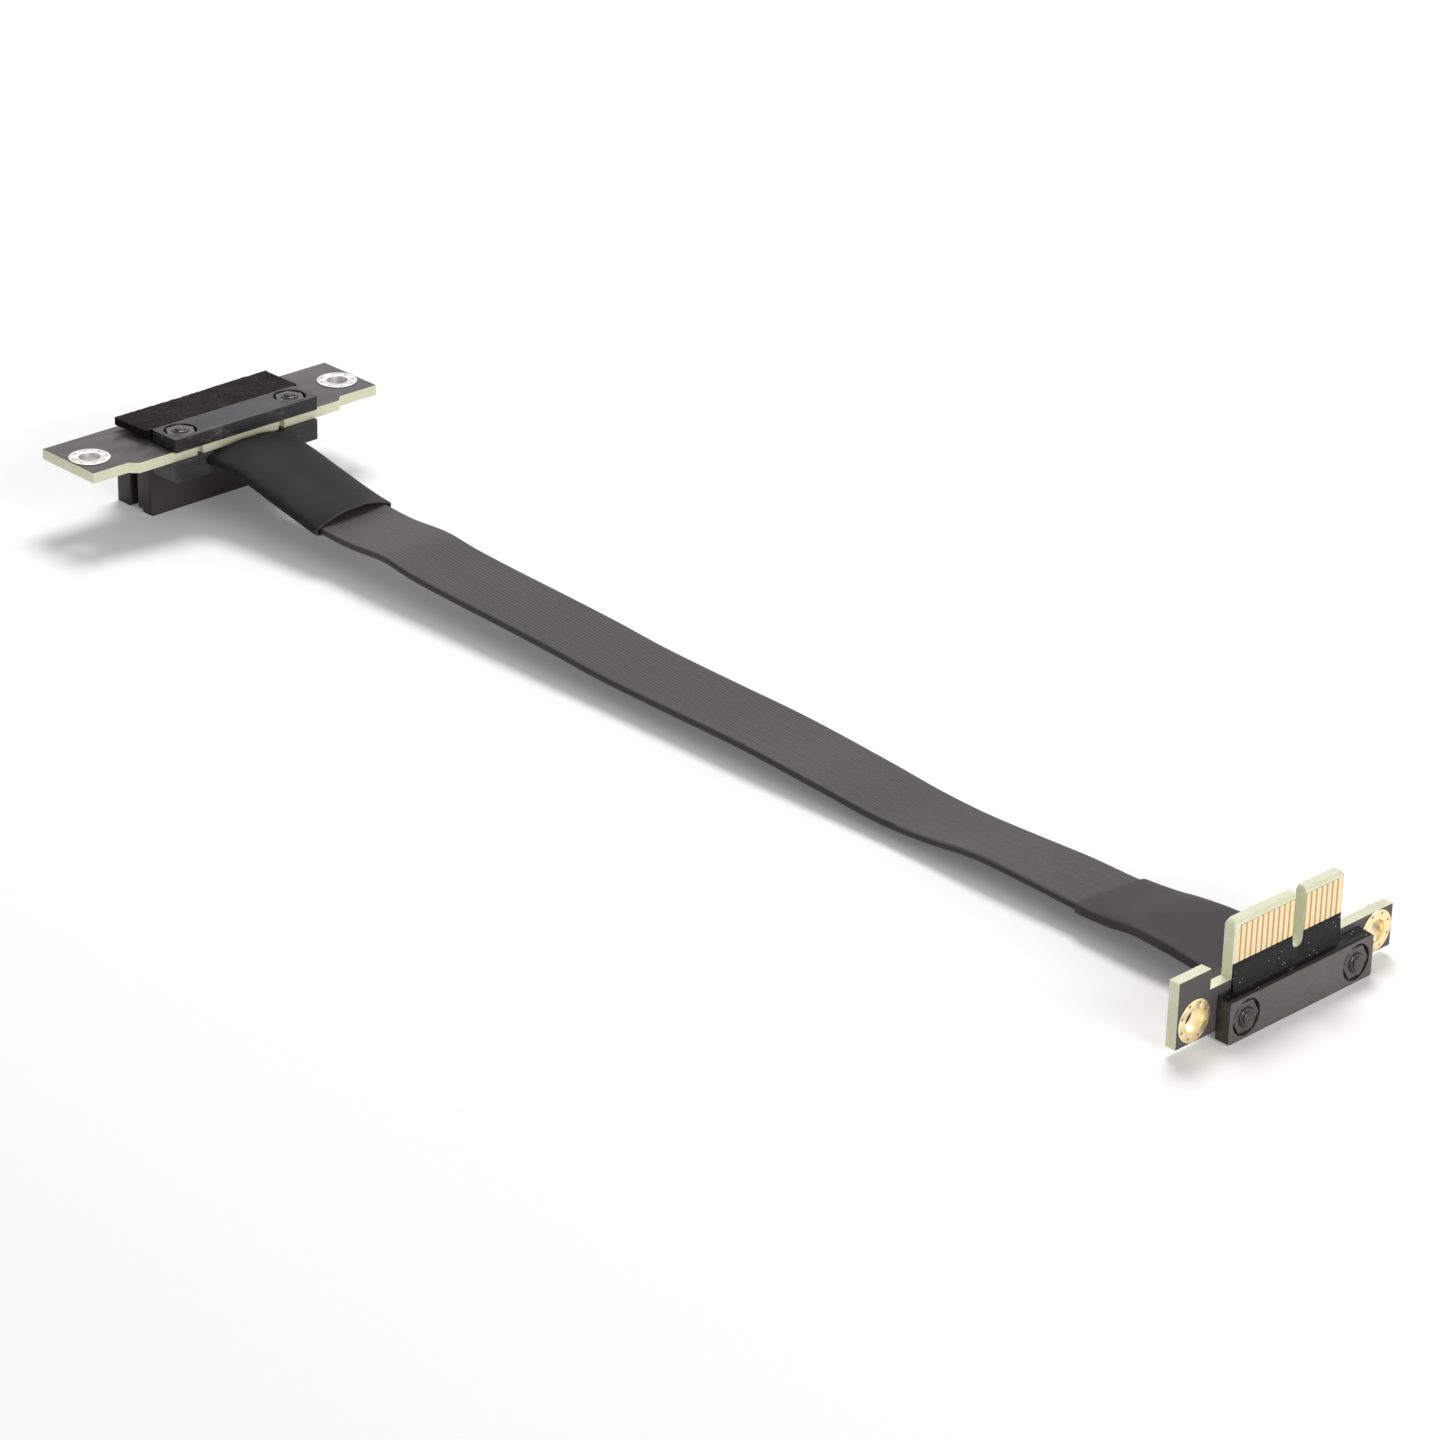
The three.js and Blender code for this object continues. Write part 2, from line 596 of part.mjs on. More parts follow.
// Fillet of glue in the corner between the plug board and its front bar
function glueBead() {
  const foot = BAR_W + SEAT;
  const slope = GLUE_SLOPE.map(([up, out]) => [foot + up * GLUE_H, SEAT + out * GLUE_D]);
  const profile = [[foot, SEAT], ...slope].reverse();
  const bead = alongU(profile, TAB_U - GLUE_L / 2, TAB_U + GLUE_L / 2);
  const keyR = KEY_NOTCH_W / 2 + CELL_GAP;
  const gap = block(keyNotchU - keyR, keyNotchU + keyR, KEY_NOTCH_FLOOR - CELL_GAP, TAB_TOP, -1, GLUE_D + 1);
  return piece('plug_glue_bead', cut(bead, [gap]), glueBlack);
}

function plugEnd() {
  const end = new THREE.Group();
  const window = block(RIBBON_U - windowW / 2, RIBBON_U + windowW / 2, barMidV - windowT / 2,
    barMidV + windowT / 2, headBarW - 1, headBarW + HEAD_BAR_T + 1);
  end.add(plugBoard(), nutBar('plug_front_bar'), headBar('plug_rear_bar', window), glueBead());
  ['left', 'right'].forEach((side, i) => {
    const holeU = PLUG_U + (i ? plugHoleU : -plugHoleU);
    end.add(nut(`plug_nut_${side}`, screwUs[i]), screw(`plug_screw_${side}`, screwUs[i]));
    end.add(holePlating(`plug_hole_plating_${side}`, holeU, plugHoleV, PLUG_LAND_R, goldPlate));
  });
  end.position.set(plugFaceX, 0, 0);
  end.setRotationFromMatrix(new THREE.Matrix4().makeBasis(V, W, U));
  return end;
}

// Ribbon and sleeves

// The route as chosen, set between the two clamps
const startX = slotBarX - BAR_W + PASS;
const endX = plugFaceX - BOARD_T - PASS;
const startZ = slotTopZ - BOARD_T - SEAT - windowT / 2;
const endZ = barMidV;
const first = ROUTE[0];
const final = ROUTE.at(-1);
const waves = new THREE.CatmullRomCurve3(ROUTE.map(([x, near, far]) => {
  const share = (x - first[0]) / (final[0] - first[0]);
  const shift = (1 - share) * (startZ - first[1]) + share * (endZ - final[1]);
  return new THREE.Vector3(startX + share * (endX - startX), near + shift, far + shift);
}), false, 'centripetal');

// Stretch of the ribbon's middle line between two places on X, whose frames lean with the two edges
class Stretch extends THREE.Curve {
  constructor(x0, x1) {
    super();
    this.from = this.shareAt(x0);
    this.to = this.shareAt(x1);
  }

  shareAt(x) {
    let low = 0;
    let high = 1;
    for (let i = 0; i < 40; i += 1) {
      const middle = (low + high) / 2;
      if (waves.getPoint(middle).x < x) low = middle;
      else high = middle;
    }
    return (low + high) / 2;
  }

  getPoint(t, target = new THREE.Vector3()) {
    const place = waves.getPoint(this.from + t * (this.to - this.from));
    return target.set(place.x, RIBBON_U, (place.y + place.z) / 2);
  }

  computeFrenetFrames(segments) {
    const tangents = [];
    const normals = [];
    const binormals = [];
    for (let i = 0; i <= segments; i += 1) {
      const t = this.getUtoTmapping(i / segments);
      const place = waves.getPoint(this.from + t * (this.to - this.from));
      const tangent = this.getTangent(t);
      const across = new THREE.Vector3(0, RIBBON_W, place.z - place.y).normalize();
      tangents.push(tangent);
      normals.push(across);
      binormals.push(new THREE.Vector3().crossVectors(tangent, across).normalize());
    }
    return { tangents, normals, binormals };
  }
}

function ribbonCable() {
  const w = RIBBON_W / 2;
  const t = RIBBON_T / 2;
  const c = RIBBON_EDGE;
  const section = outline([
    [-w + c, -t], [w - c, -t], [w, -t + c], [w, t - c], [w - c, t], [-w + c, t], [-w, t - c], [-w, -t + c],
  ]);
  const path = new Stretch(startX, endX);
  const geometry = new THREE.ExtrudeGeometry(section, { extrudePath: path, steps: RIBBON_STEPS });
  return piece('ribbon_cable', geometry, ribbonJacket);
}

// Flattened tube round the ribbon: half its thickness is edge at the sides and crown in the middle
function sleeve(name, x0, x1, width, crown, edge) {
  const loop = (w, c, e) => {
    const quarter = [[w, e / 2], [w - e / 2, e], [w * SLEEVE_SHOULDER, (e + c) / 2], [w * SLEEVE_FLAT, c]];
    const top = [...quarter, ...quarter.map(([x, y]) => [-x, y]).reverse()];
    return [...top, ...top.map(([x, y]) => [x, -y]).reverse()].map(([x, y]) => new THREE.Vector2(x, y));
  };
  const section = new THREE.Shape(loop(width / 2, crown, edge));
  section.holes = [new THREE.Path(loop(width / 2 - SLEEVE_WALL, crown - SLEEVE_WALL, edge - SLEEVE_WALL))];
  const path = new Stretch(x0, x1);
  const geometry = new THREE.ExtrudeGeometry(section, { extrudePath: path, steps: SLEEVE_STEPS });
  return piece(name, geometry, shrinkTube);
}

const slotSleeveX = slotBarX + SLEEVE_END_GAP;
const plugSleeveX = plugFaceX + headBarW - SLEEVE_END_GAP;

const riser = new THREE.Group();
riser.add(
  slotEnd(),
  sleeve('slot_sleeve', slotSleeveX, slotSleeveX + SLOT_SLEEVE_L, SLOT_SLEEVE_W, SLOT_SLEEVE_CROWN,
    SLEEVE_EDGE),
  ribbonCable(),
  sleeve('plug_sleeve', plugSleeveX - PLUG_SLEEVE_L, plugSleeveX, PLUG_SLEEVE_W, PLUG_SLEEVE_CROWN,
    SLEEVE_EDGE),
  plugEnd(),
);

export default riser;
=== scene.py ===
# %% [markdown]
# # A flat ribbon riser
# The object carries one lane of a computer's card bus round a corner. A flat ribbon runs between a small
# board that lies face down on its socket and a small board that stands on edge with a gold contact tab.
# The solids are already made to size, so this scene gives them their looks. Everything is in metres, in
# the solids' own frame: X runs along the ribbon, Y across it and Z up.

# %% Load the solids
import math

import bmesh
import bpy
import numpy as np
from mathutils import Matrix, Vector, noise


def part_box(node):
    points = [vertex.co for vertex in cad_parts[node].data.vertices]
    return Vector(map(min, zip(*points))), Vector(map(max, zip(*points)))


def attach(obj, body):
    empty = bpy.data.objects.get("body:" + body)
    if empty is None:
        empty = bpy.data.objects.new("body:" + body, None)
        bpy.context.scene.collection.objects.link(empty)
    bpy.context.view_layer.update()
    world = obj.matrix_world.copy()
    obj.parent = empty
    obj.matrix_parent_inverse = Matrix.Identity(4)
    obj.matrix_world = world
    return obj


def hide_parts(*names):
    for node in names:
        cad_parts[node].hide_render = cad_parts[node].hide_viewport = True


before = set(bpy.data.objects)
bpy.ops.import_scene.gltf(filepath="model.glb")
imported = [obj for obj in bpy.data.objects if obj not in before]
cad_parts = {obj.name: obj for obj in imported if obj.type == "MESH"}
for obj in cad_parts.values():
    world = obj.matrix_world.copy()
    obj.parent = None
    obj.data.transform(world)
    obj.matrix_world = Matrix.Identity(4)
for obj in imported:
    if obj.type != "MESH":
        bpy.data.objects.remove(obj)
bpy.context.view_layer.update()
MM = 0.001
print("solids:", len(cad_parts))

# %% [markdown]
# ## The camera
# The picture is taken from in front and to the right, a little above, with a long lens. The camera is
# placed by its own three axes, because a lens this long makes small errors of angle show.

# %% Place the camera
CAMERA_PLACE = (421.52 * MM, -401.07 * MM, 278.98 * MM)
CAMERA_AZIMUTH = -45.85
CAMERA_ELEVATION = 25.66
CAMERA_ROLL = 1.24
LENS = 117.82
NEAR_CLIP = 0.01


def camera_turn(azimuth, elevation, roll):
    a, e, r = (math.radians(v) for v in (azimuth, elevation, roll))
    look = Vector((math.sin(a) * math.cos(e), math.cos(a) * math.cos(e), -math.sin(e)))
    level = Vector((math.cos(a), -math.sin(a), 0))
    rise = level.cross(look)
    right = math.cos(r) * level + math.sin(r) * rise
    up = math.cos(r) * rise - math.sin(r) * level
    return Matrix((right, up, -look)).transposed().to_4x4()


camera = bpy.data.objects.new("camera", bpy.data.cameras.new("camera"))
bpy.context.collection.objects.link(camera)
camera.data.lens = LENS
camera.data.clip_start = NEAR_CLIP
turn = camera_turn(CAMERA_AZIMUTH, CAMERA_ELEVATION, CAMERA_ROLL)
camera.matrix_world = Matrix.Translation(CAMERA_PLACE) @ turn
bpy.context.scene.camera = camera
print("camera at", [round(v, 3) for v in camera.location])

# %% [markdown]
# ## The route of the ribbon
# The ribbon leaves the slot end level, dips to the surface in a few lazy waves and rises into the plug.
# It is stiff across its width but can twist, so each point of the route gives the height of both edges.
# A smooth curve is drawn through the points, and every later shape that hugs the ribbon reads it too.
# Each row of the route is a place along X, the height of the near edge and that of the far edge, in
# millimetres.

# %% Draw the route
RIBBON_Y = 0.65 * MM
RIBBON_W = 12.6 * MM
RIBBON_T = 1.1 * MM
RIBBON_ENDS = (-99.475 * MM, 106.475 * MM)
RIBBON_ROWS = 261
SAMPLES_PER_SPAN = 24
ROUTE = [
    (-99.5, 10.4, 10.4),
    (-94.0, 10.4, 10.4),
    (-89.5, 9.8, 10.0),
    (-82.0, 8.35, 8.6),
    (-76.0, 7.2, 7.45),
    (-70.0, 6.2, 6.6),
    (-64.0, 5.95, 6.3),
    (-56.0, 6.35, 6.7),
    (-50.0, 5.65, 6.15),
    (-42.0, 5.25, 5.75),
    (-30.0, 4.9, 5.35),
    (-20.0, 4.5, 4.95),
    (-10.0, 3.95, 4.35),
    (4.0, 3.8, 4.05),
    (18.0, 3.7, 3.85),
    (34.0, 2.95, 2.9),
    (44.0, 2.5, 2.1),
    (52.0, 2.9, 1.9),
    (61.0, 3.9, 2.2),
    (70.0, 3.85, 2.6),
    (79.0, 3.6, 2.65),
    (84.0, 3.75, 3.05),
    (88.5, 4.25, 3.7),
    (93.0, 4.1, 4.1),
    (96.5, 3.8, 4.15),
    (100.0, 3.4, 3.75),
    (104.0, 2.9, 2.95),
    (106.5, 2.88, 2.88),
]


def smooth_route(points):
    """Centripetal curve through the points, as many close samples."""
    p = np.vstack([2 * points[0] - points[1], points, 2 * points[-1] - points[-2]])
    samples = []
    for a, b, c, d in zip(p, p[1:], p[2:], p[3:]):
        ab, bc, cd = (np.sum((q - r) ** 2) ** 0.25 for q, r in ((b, a), (c, b), (d, c)))
        start = ((b - a) / ab - (c - a) / (ab + bc) + (c - b) / bc) * bc
        end = ((c - b) / bc - (d - b) / (bc + cd) + (d - c) / cd) * bc
        for t in np.linspace(0, 1, SAMPLES_PER_SPAN, endpoint=False):
            samples.append(
                (2 * t**3 - 3 * t**2 + 1) * b
                + (t**3 - 2 * t**2 + t) * start
                + (3 * t**2 - 2 * t**3) * c
                + (t**3 - t**2) * end
            )
    return np.vstack([samples, points[-1]])


waves = smooth_route(np.array(ROUTE) * MM)


def ribbon_frame(x):
    """Middle of the ribbon at x, with the directions along, across and out of its top."""
    near, far = (np.interp([x - 0.5 * MM, x, x + 0.5 * MM], waves[:, 0], waves[:, k]) for k in (1, 2))
    middle = (near + far) / 2
    along = np.array([MM, 0, middle[2] - middle[0]])
    across = np.array([0, RIBBON_W, far[1] - near[1]])
    along, across = (v / np.linalg.norm(v) for v in (along, across))
    return np.array([x, RIBBON_Y, middle[1]]), along, across, np.cross(along, across)


places = np.linspace(*RIBBON_ENDS, RIBBON_ROWS)

# %% [markdown]
# ## The ribbon itself
# A jacket is drawn over a row of parallel wires, so its faces are finely ribbed and its edges are round.
# A flat section with one low rib for each wire is carried along the route. The ribs are real geometry,
# so at a grazing angle the light catches them in faint rows and the strip reads as a cable, not as tape.

# %% Helpers for meshes made from rings
def add_mesh(name, points, faces, uvs):
    mesh = bpy.data.meshes.new(name)
    mesh.from_pydata([tuple(p) for p in points], [], faces)
    layer = mesh.uv_layers.new(name="along")
    flat = np.array([uvs[v] for face in faces for v in face], dtype=np.float32)
    layer.data.foreach_set("uv", flat.ravel())
    mesh.update()
    made = bpy.data.objects.new(name, mesh)
    bpy.context.collection.objects.link(made)
    return made


def loft(name, rings, closed_ends=True):
    """Closed rings of equally many points, joined in order; u runs along them and v around."""
    count = len(rings[0])
    points = [p for ring in rings for p in ring]
    faces = []
    for i in range(len(rings) - 1):
        for j in range(count):
            k = (j + 1) % count
            faces.append((i * count + j, i * count + k, (i + 1) * count + k, (i + 1) * count + j))
    if closed_ends:
        faces.append(tuple(reversed(range(count))))
        faces.append(tuple((len(rings) - 1) * count + j for j in range(count)))
    uvs = [(i / (len(rings) - 1), j / count) for i in range(len(rings)) for j in range(count)]
    return add_mesh(name, points, faces, uvs)


def face_outwards(obj):
    work = bmesh.new()
    work.from_mesh(obj.data)
    bmesh.ops.recalc_face_normals(work, faces=work.faces)
    work.to_mesh(obj.data)
    work.free()
    return obj


# %% Sweep the ribbon
WIRES = 20
RIB_H = 0.045 * MM
FLAT_HALF = (RIBBON_W - 0.8 * RIBBON_T) / 2
WIRE_PITCH = 2 * FLAT_HALF / WIRES / MM
POINTS_PER_RIB = 8
EDGE_POINTS = 5


def ribbon_section():
    half_w, half_t = RIBBON_W / 2, RIBBON_T / 2
    flat = FLAT_HALF
    across = np.linspace(flat, -flat, WIRES * POINTS_PER_RIB + 1)
    groove = np.abs(np.cos(np.arange(len(across)) * math.pi / POINTS_PER_RIB)) ** 3
    top = [(y, half_t - RIB_H * share) for y, share in zip(across, groove)]
    angles = np.linspace(math.pi / 2, 3 * math.pi / 2, EDGE_POINTS + 2)[1:-1]
    side = [(-flat + (half_w - flat) * math.cos(a), half_t * math.sin(a)) for a in angles]
    return top + side + [(-y, -z) for y, z in top] + [(-y, -z) for y, z in side]


section = ribbon_section()
rings = []
for x in places:
    middle, along, across, up = ribbon_frame(x)
    rings.append([middle + across * y + up * z for y, z in section])
ribbon = face_outwards(loft("ribbon_jacket", rings))
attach(ribbon, "root")
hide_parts("ribbon_cable")
print("ribbon faces:", len(ribbon.data.polygons))

# %% [markdown]
# ## Writing shader maths as plain expressions
# Many finishes are sums and products of noises. A small class wraps a socket, so such a sum can be
# written as Python writes it, and one method adds any other node with its settings and its inputs.

# %% Shader helpers
class Wave:
    """A socket that stands in a Python expression."""

    def __init__(self, finish, socket):
        self.finish = finish
        self.socket = socket

    def maths(self, operation, *values):
        return self.finish.maths(operation, *values)

    def __add__(self, other):
        return self.maths("ADD", self, other)

    def __sub__(self, other):
        return self.maths("SUBTRACT", self, other)

    def __rsub__(self, other):
        return self.maths("SUBTRACT", other, self)

    def __mul__(self, other):
        return self.maths("MULTIPLY", self, other)

    __radd__ = __add__


def tone(red, green, blue):
    """Colour written as the eye sees it, 0 to 255, as the shader's linear values."""
    seen = [v / 255 for v in (red, green, blue)]
    return [v / 12.92 if v <= 0.04045 else ((v + 0.055) / 1.055) ** 2.4 for v in seen] + [1.0]


class Finish:
    """One material, built on its main shader."""

    def __init__(self, name, **constants):
        self.material = bpy.data.materials.new(name)
        self.material.use_nodes = True
        self.tree = self.material.node_tree
        self.shader = self.tree.nodes["Principled BSDF"]
        for socket, value in constants.items():
            self.shader.inputs[socket.replace("_", " ")].default_value = value

    def fill(self, node, key, value):
        if isinstance(value, Wave):
            self.tree.links.new(value.socket, node.inputs[key])
        else:
            node.inputs[key].default_value = value

    def node(self, kind, settings=None, inputs=None, output=0):
        made = self.tree.nodes.new(kind)
        for key, value in (settings or {}).items():
            setattr(made, key, value)
        for key, value in (inputs or {}).items():
            self.fill(made, key, value)
        return Wave(self, made.outputs[output])

    def maths(self, operation, *values):
        return self.node("ShaderNodeMath", {"operation": operation}, dict(enumerate(values)))

    def place(self, stretch=(1, 1, 1)):
        """Object coordinates in millimetres, stretched along each axis."""
        at = self.node("ShaderNodeTexCoord", output="Object")
        return self.node("ShaderNodeMapping", inputs={"Vector": at, "Scale": [s / MM for s in stretch]})

    def noise(self, scale, stretch=(1, 1, 1), detail=4.0, rough=0.55):
        inputs = {"Vector": self.place(stretch), "Scale": scale, "Detail": detail, "Roughness": rough}
        return self.node("ShaderNodeTexNoise", inputs=inputs, output="Fac")

    def cells(self, scale):
        inputs = {"Vector": self.place(), "Scale": scale}
        return self.node("ShaderNodeTexVoronoi", inputs=inputs, output="Distance")

    def between(self, low, high, value):
        """0 below low, 1 above high, and even between."""
        settings = {"interpolation_type": "SMOOTHSTEP"}
        inputs = {"Value": value, "From Min": low, "From Max": high}
        return self.node("ShaderNodeMapRange", settings, inputs)

    def blend(self, share, first, second):
        inputs = {0: share, 6: first, 7: second}
        return self.node("ShaderNodeMix", {"data_type": "RGBA"}, inputs, output=2)

    def axis(self, name):
        """One object coordinate in millimetres."""
        at = self.node("ShaderNodeTexCoord", output="Object")
        return self.node("ShaderNodeSeparateXYZ", inputs={0: at}, output=name) * (1 / MM)

    def bump(self, height, distance, strength=1.0):
        inputs = {"Strength": strength, "Distance": distance * MM, "Height": height}
        self.fill(self.shader, "Normal", self.node("ShaderNodeBump", inputs=inputs, output="Normal"))

    def paint(self, colour, roughness=None):
        self.fill(self.shader, "Base Color", colour)
        if roughness is not None:
            self.fill(self.shader, "Roughness", roughness)
        return self


# %% Helpers that give a mesh its finishes
def solo(obj):
    bpy.ops.object.select_all(action="DESELECT")
    obj.select_set(True)
    bpy.context.view_layer.objects.active = obj


def dress(obj, *finishes, smooth=None):
    """Gives a piece its finishes, and smooth shading over edges below so many degrees."""
    obj.data.materials.clear()
    for finish in finishes:
        obj.data.materials.append(finish.material)
    if smooth is not None:
        solo(obj)
        bpy.ops.object.shade_smooth_by_angle(angle=math.radians(smooth))


def paint_faces(obj, rules):
    """Gives each face the first finish whose rule it meets; the last finish takes the rest."""
    for face in obj.data.polygons:
        face.material_index = next(
            (i for i, rule in enumerate(rules) if rule(face.center / MM, face.normal)), len(rules)
        )


def tell(*pieces):
    print(", ".join(f"{piece.name}: {len(piece.data.polygons)} faces" for piece in pieces))


def tell_finishes(*finishes):
    print("finishes:", ", ".join(finish.material.name for finish in finishes))


# %% [markdown]
# ## The ribbon's jacket
# Soft grey vinyl: dull, with a faint cross texture left by the machine that drew it, and a band painted
# lighter over the crest where it bends, a painted sheen. The ribs are in the mesh; the shader paints
# their valleys a little darker, painted shade, and adds the skin.

# %% Jacket finish
# painted sheen: over this crest the jacket is painted paler, a painted highlight
SHEEN_CREST = (-70, -62, -52)  # the jacket is paler over this crest, in millimetres


def jacket_finish(name, low, high):
    jacket = Finish(name, Roughness=0.55, Specular_IOR_Level=0.22)
    cloud = jacket.noise(0.06, detail=2.0)
    grain = jacket.noise(3.0, (0.25, 1, 1))
    streak = jacket.noise(1.4, (0.02, 1, 1), detail=3.0)
    knurl = jacket.noise(2.2, (1.4, 0.6, 1), detail=2.0)
    from_middle = jacket.axis("Y") - RIBBON_Y / MM
    # painted shade and light: the rib valleys are painted darker and the crests lighter, at the wires'
    # pitch
    rib_shading = 0.5 - jacket.maths("COSINE", from_middle * (2 * math.pi / WIRE_PITCH)) * 0.5
    x = jacket.axis("X")
    start, crest, end = SHEEN_CREST
    # a band painted lighter over the crest: painted sheen
    painted_sheen = jacket.between(start, crest, x) - jacket.between(crest, end, x)
    mottle = painted_sheen * 0.35 + cloud * 0.25 + streak * 0.2 + grain * 0.15 + knurl * 0.25 + rib_shading * 0.15
    shade = jacket.between(0.2, 0.8, mottle)
    jacket.paint(jacket.blend(shade, tone(*low), tone(*high)), 0.44 + grain * 0.2)
    jacket.bump(grain + streak * 0.6 + knurl * 0.6, 0.03, 0.7)
    return jacket


jacket_top = jacket_finish("ribbon_jacket_vinyl", (52, 50, 50), (86, 83, 84))
# the ribbon's edges take a darker copy of the same vinyl: painted shade
jacket_shaded_side = jacket_finish("ribbon_jacket_side", (38, 37, 37), (58, 56, 56))
dress(ribbon, jacket_top, jacket_shaded_side, smooth=50)
paint_faces(ribbon, [lambda at, n: abs(n.y) < 0.75])
tell_finishes(jacket_top, jacket_shaded_side)

# %% [markdown]
# ## Shrunk sleeves
# Each end of the ribbon is covered with a length of shrink tube. At the slot end the tube stands up in
# a low arch, with a dark slit between its lip and the ribbon; at the plug it grips the ribbon all round.
# A tube section is drawn round the ribbon's frame at many places, wider or flatter as the real one is.
# Then a solidify modifier gives it a wall and a bevel rounds its lips.

# %% Tube section and wall
SLEEVE_RINGS = 61
SLEEVE_POINTS = 72
CORNER = (0.42, 0.5)  # powers that square the tube's round section, across and up


def tube_ring(x, half_w, crown, shoulder, sag, flare=0.0):
    """Ring round the ribbon: crown over the middle, shoulder at the sides, sag below.

    The near side stands out further by flare."""
    middle, _, across, up = ribbon_frame(x)
    ring = []
    for i in range(SLEEVE_POINTS):
        a = 2 * math.pi * (i + 0.5) / SLEEVE_POINTS
        side, lift = math.cos(a), math.sin(a)
        share = abs(side) ** CORNER[0]
        y = math.copysign(share, side) * (half_w + (flare if side < 0 else 0))
        if lift >= 0:
            height = shoulder + (crown - shoulder) * math.cos(share * math.pi / 2) ** 1.15
        else:
            height = sag
        z = math.copysign(abs(lift) ** CORNER[1], lift) * height
        ring.append(middle + across * y + up * z)
    return ring


def finish_tube(obj, wall, ripple, node):
    for v in obj.data.vertices:
        push = noise.noise(v.co * 220) * ripple + noise.noise(v.co * 900) * ripple * 0.25
        v.co += v.normal * push
    solo(obj)
    shell = obj.modifiers.new("wall", "SOLIDIFY")
    shell.thickness = wall
    shell.offset = -1
    bpy.ops.object.modifier_apply(modifier=shell.name)
    soft = obj.modifiers.new("lip", "BEVEL")
    soft.width = wall * 0.3
    soft.segments = 2
    soft.angle_limit = math.radians(50)
    bpy.ops.object.modifier_apply(modifier=soft.name)
    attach(obj, "root")
    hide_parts(node)


# %% Slot sleeve
SLOT_SLEEVE = (-93.7 * MM, -69.95 * MM)
rings = []
for t in np.linspace(0, 1, SLEEVE_RINGS):
    x = SLOT_SLEEVE[0] + t * (SLOT_SLEEVE[1] - SLOT_SLEEVE[0])
    open_end = max(0.0, (t - 0.8) / 0.2) ** 2
    rings.append(
        tube_ring(
            x,
            half_w=(7.05 + 0.1 * open_end) * MM,
            crown=(1.95 + 0.22 * open_end) * MM,
            shoulder=(0.95 - 0.1 * open_end) * MM,
            sag=(0.95 - 0.05 * open_end) * MM,
            flare=1.2 * MM * max(0.0, 1 - t / 0.3) ** 1.5,
        )
    )
slot_sleeve = face_outwards(loft("slot_sleeve_tube", rings, closed_ends=False))
finish_tube(slot_sleeve, wall=0.3 * MM, ripple=0.05 * MM, node="slot_sleeve")
tell(slot_sleeve)

# %% Plug sleeve
PLUG_SLEEVE = (78.95 * MM, 103.35 * MM)
rings = []
for t in np.linspace(0, 1, SLEEVE_RINGS):
    x = PLUG_SLEEVE[0] + t * (PLUG_SLEEVE[1] - PLUG_SLEEVE[0])
    mouth = max(0.0, 1 - t / 0.05)
    rings.append(
        tube_ring(
            x,
            half_w=(6.85 - 0.06 * mouth) * MM,
            crown=(1.02 - 0.06 * mouth) * MM,
            shoulder=0.95 * MM,
            sag=(0.98 - 0.04 * mouth) * MM,
        )
    )
plug_sleeve = face_outwards(loft("plug_sleeve_tube", rings, closed_ends=False))
finish_tube(plug_sleeve, wall=0.28 * MM, ripple=0.035 * MM, node="plug_sleeve")
tell(plug_sleeve)

# %% Sleeve finish
def tube_finish(name, low, high, shine):
    tube = Finish(name, Roughness=0.5, Specular_IOR_Level=shine)
    cloud = tube.noise(0.12, detail=2.0)
    skin = tube.noise(6.0, detail=6.0, rough=0.65)
    scuff = tube.between(0.62, 0.75, tube.noise(0.9, (0.3, 1, 1), detail=8.0, rough=0.7))
    tube.paint(
        tube.blend(scuff * 0.3, tube.blend(cloud, tone(*low), tone(*high)), tone(80, 77, 75)),
        0.42 + skin * 0.16 + scuff * 0.1,
    )
    tube.bump(skin + cloud * 2.0, 0.012, 0.7)
    return tube


slot_tube = tube_finish("slot_sleeve_tube", (22, 21, 22), (33, 32, 33), 0.1)
plug_tube = tube_finish("plug_sleeve_tube", (48, 46, 46), (66, 63, 63), 0.15)
tube_cut = Finish("sleeve_cut_edge", Roughness=0.5, Specular_IOR_Level=0.2)
fray = tube_cut.noise(5.0)
tube_cut.paint(tube_cut.blend(fray, tone(66, 61, 57), tone(108, 101, 94)))
SLOT_LIP = SLOT_SLEEVE[1] / MM - 0.3
dress(slot_sleeve, tube_cut, slot_tube, smooth=40)
paint_faces(slot_sleeve, [lambda at, n: n.x > 0.6 and at.x > SLOT_LIP])
dress(plug_sleeve, plug_tube, smooth=40)
tell_finishes(slot_tube, plug_tube, tube_cut)

# %% [markdown]
# ## Hard pieces taken from the solids
# The boards, bars, housing, nuts and screws already have their true outlines. A real edge is never
# perfectly sharp, and the thin bright line along it is most of what makes a small part look real. So
# each of these solids is copied, its loose triangles are merged, flat faces are joined again, and its
# edges get a small bevel. The copy then stands for the solid.

# %% Copy a solid and round its edges
EDGE = {  # width of the bevel on each kind of piece, in millimetres
    "slot_board": 0.05,
    "plug_board": 0.02,
    "land": 0.022,
    "bar": 0.1,
    "nut": 0.12,
    "screw": 0.06,
    "housing": 0.06,
}
SHARP = math.radians(35)


def copy_solid(node, name):
    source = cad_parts[node]
    made = bpy.data.objects.new(name, source.data.copy())
    bpy.context.collection.objects.link(made)
    made.data.transform(source.matrix_world)
    solo(made)
    bpy.ops.object.mode_set(mode="EDIT")
    bpy.ops.mesh.select_all(action="SELECT")
    bpy.ops.mesh.remove_doubles(threshold=0.002 * MM)
    bpy.ops.mesh.dissolve_limited(angle_limit=math.radians(1))
    bpy.ops.mesh.normals_make_consistent(inside=False)
    bpy.ops.object.mode_set(mode="OBJECT")
    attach(made, "root")
    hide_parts(node)
    return made


def round_edges(obj, kind, segments=2):
    solo(obj)
    edge = obj.modifiers.new("edge", "BEVEL")
    edge.width = EDGE[kind] * MM
    edge.segments = segments
    edge.angle_limit = SHARP
    bpy.ops.object.modifier_apply(modifier=edge.name)
    return obj


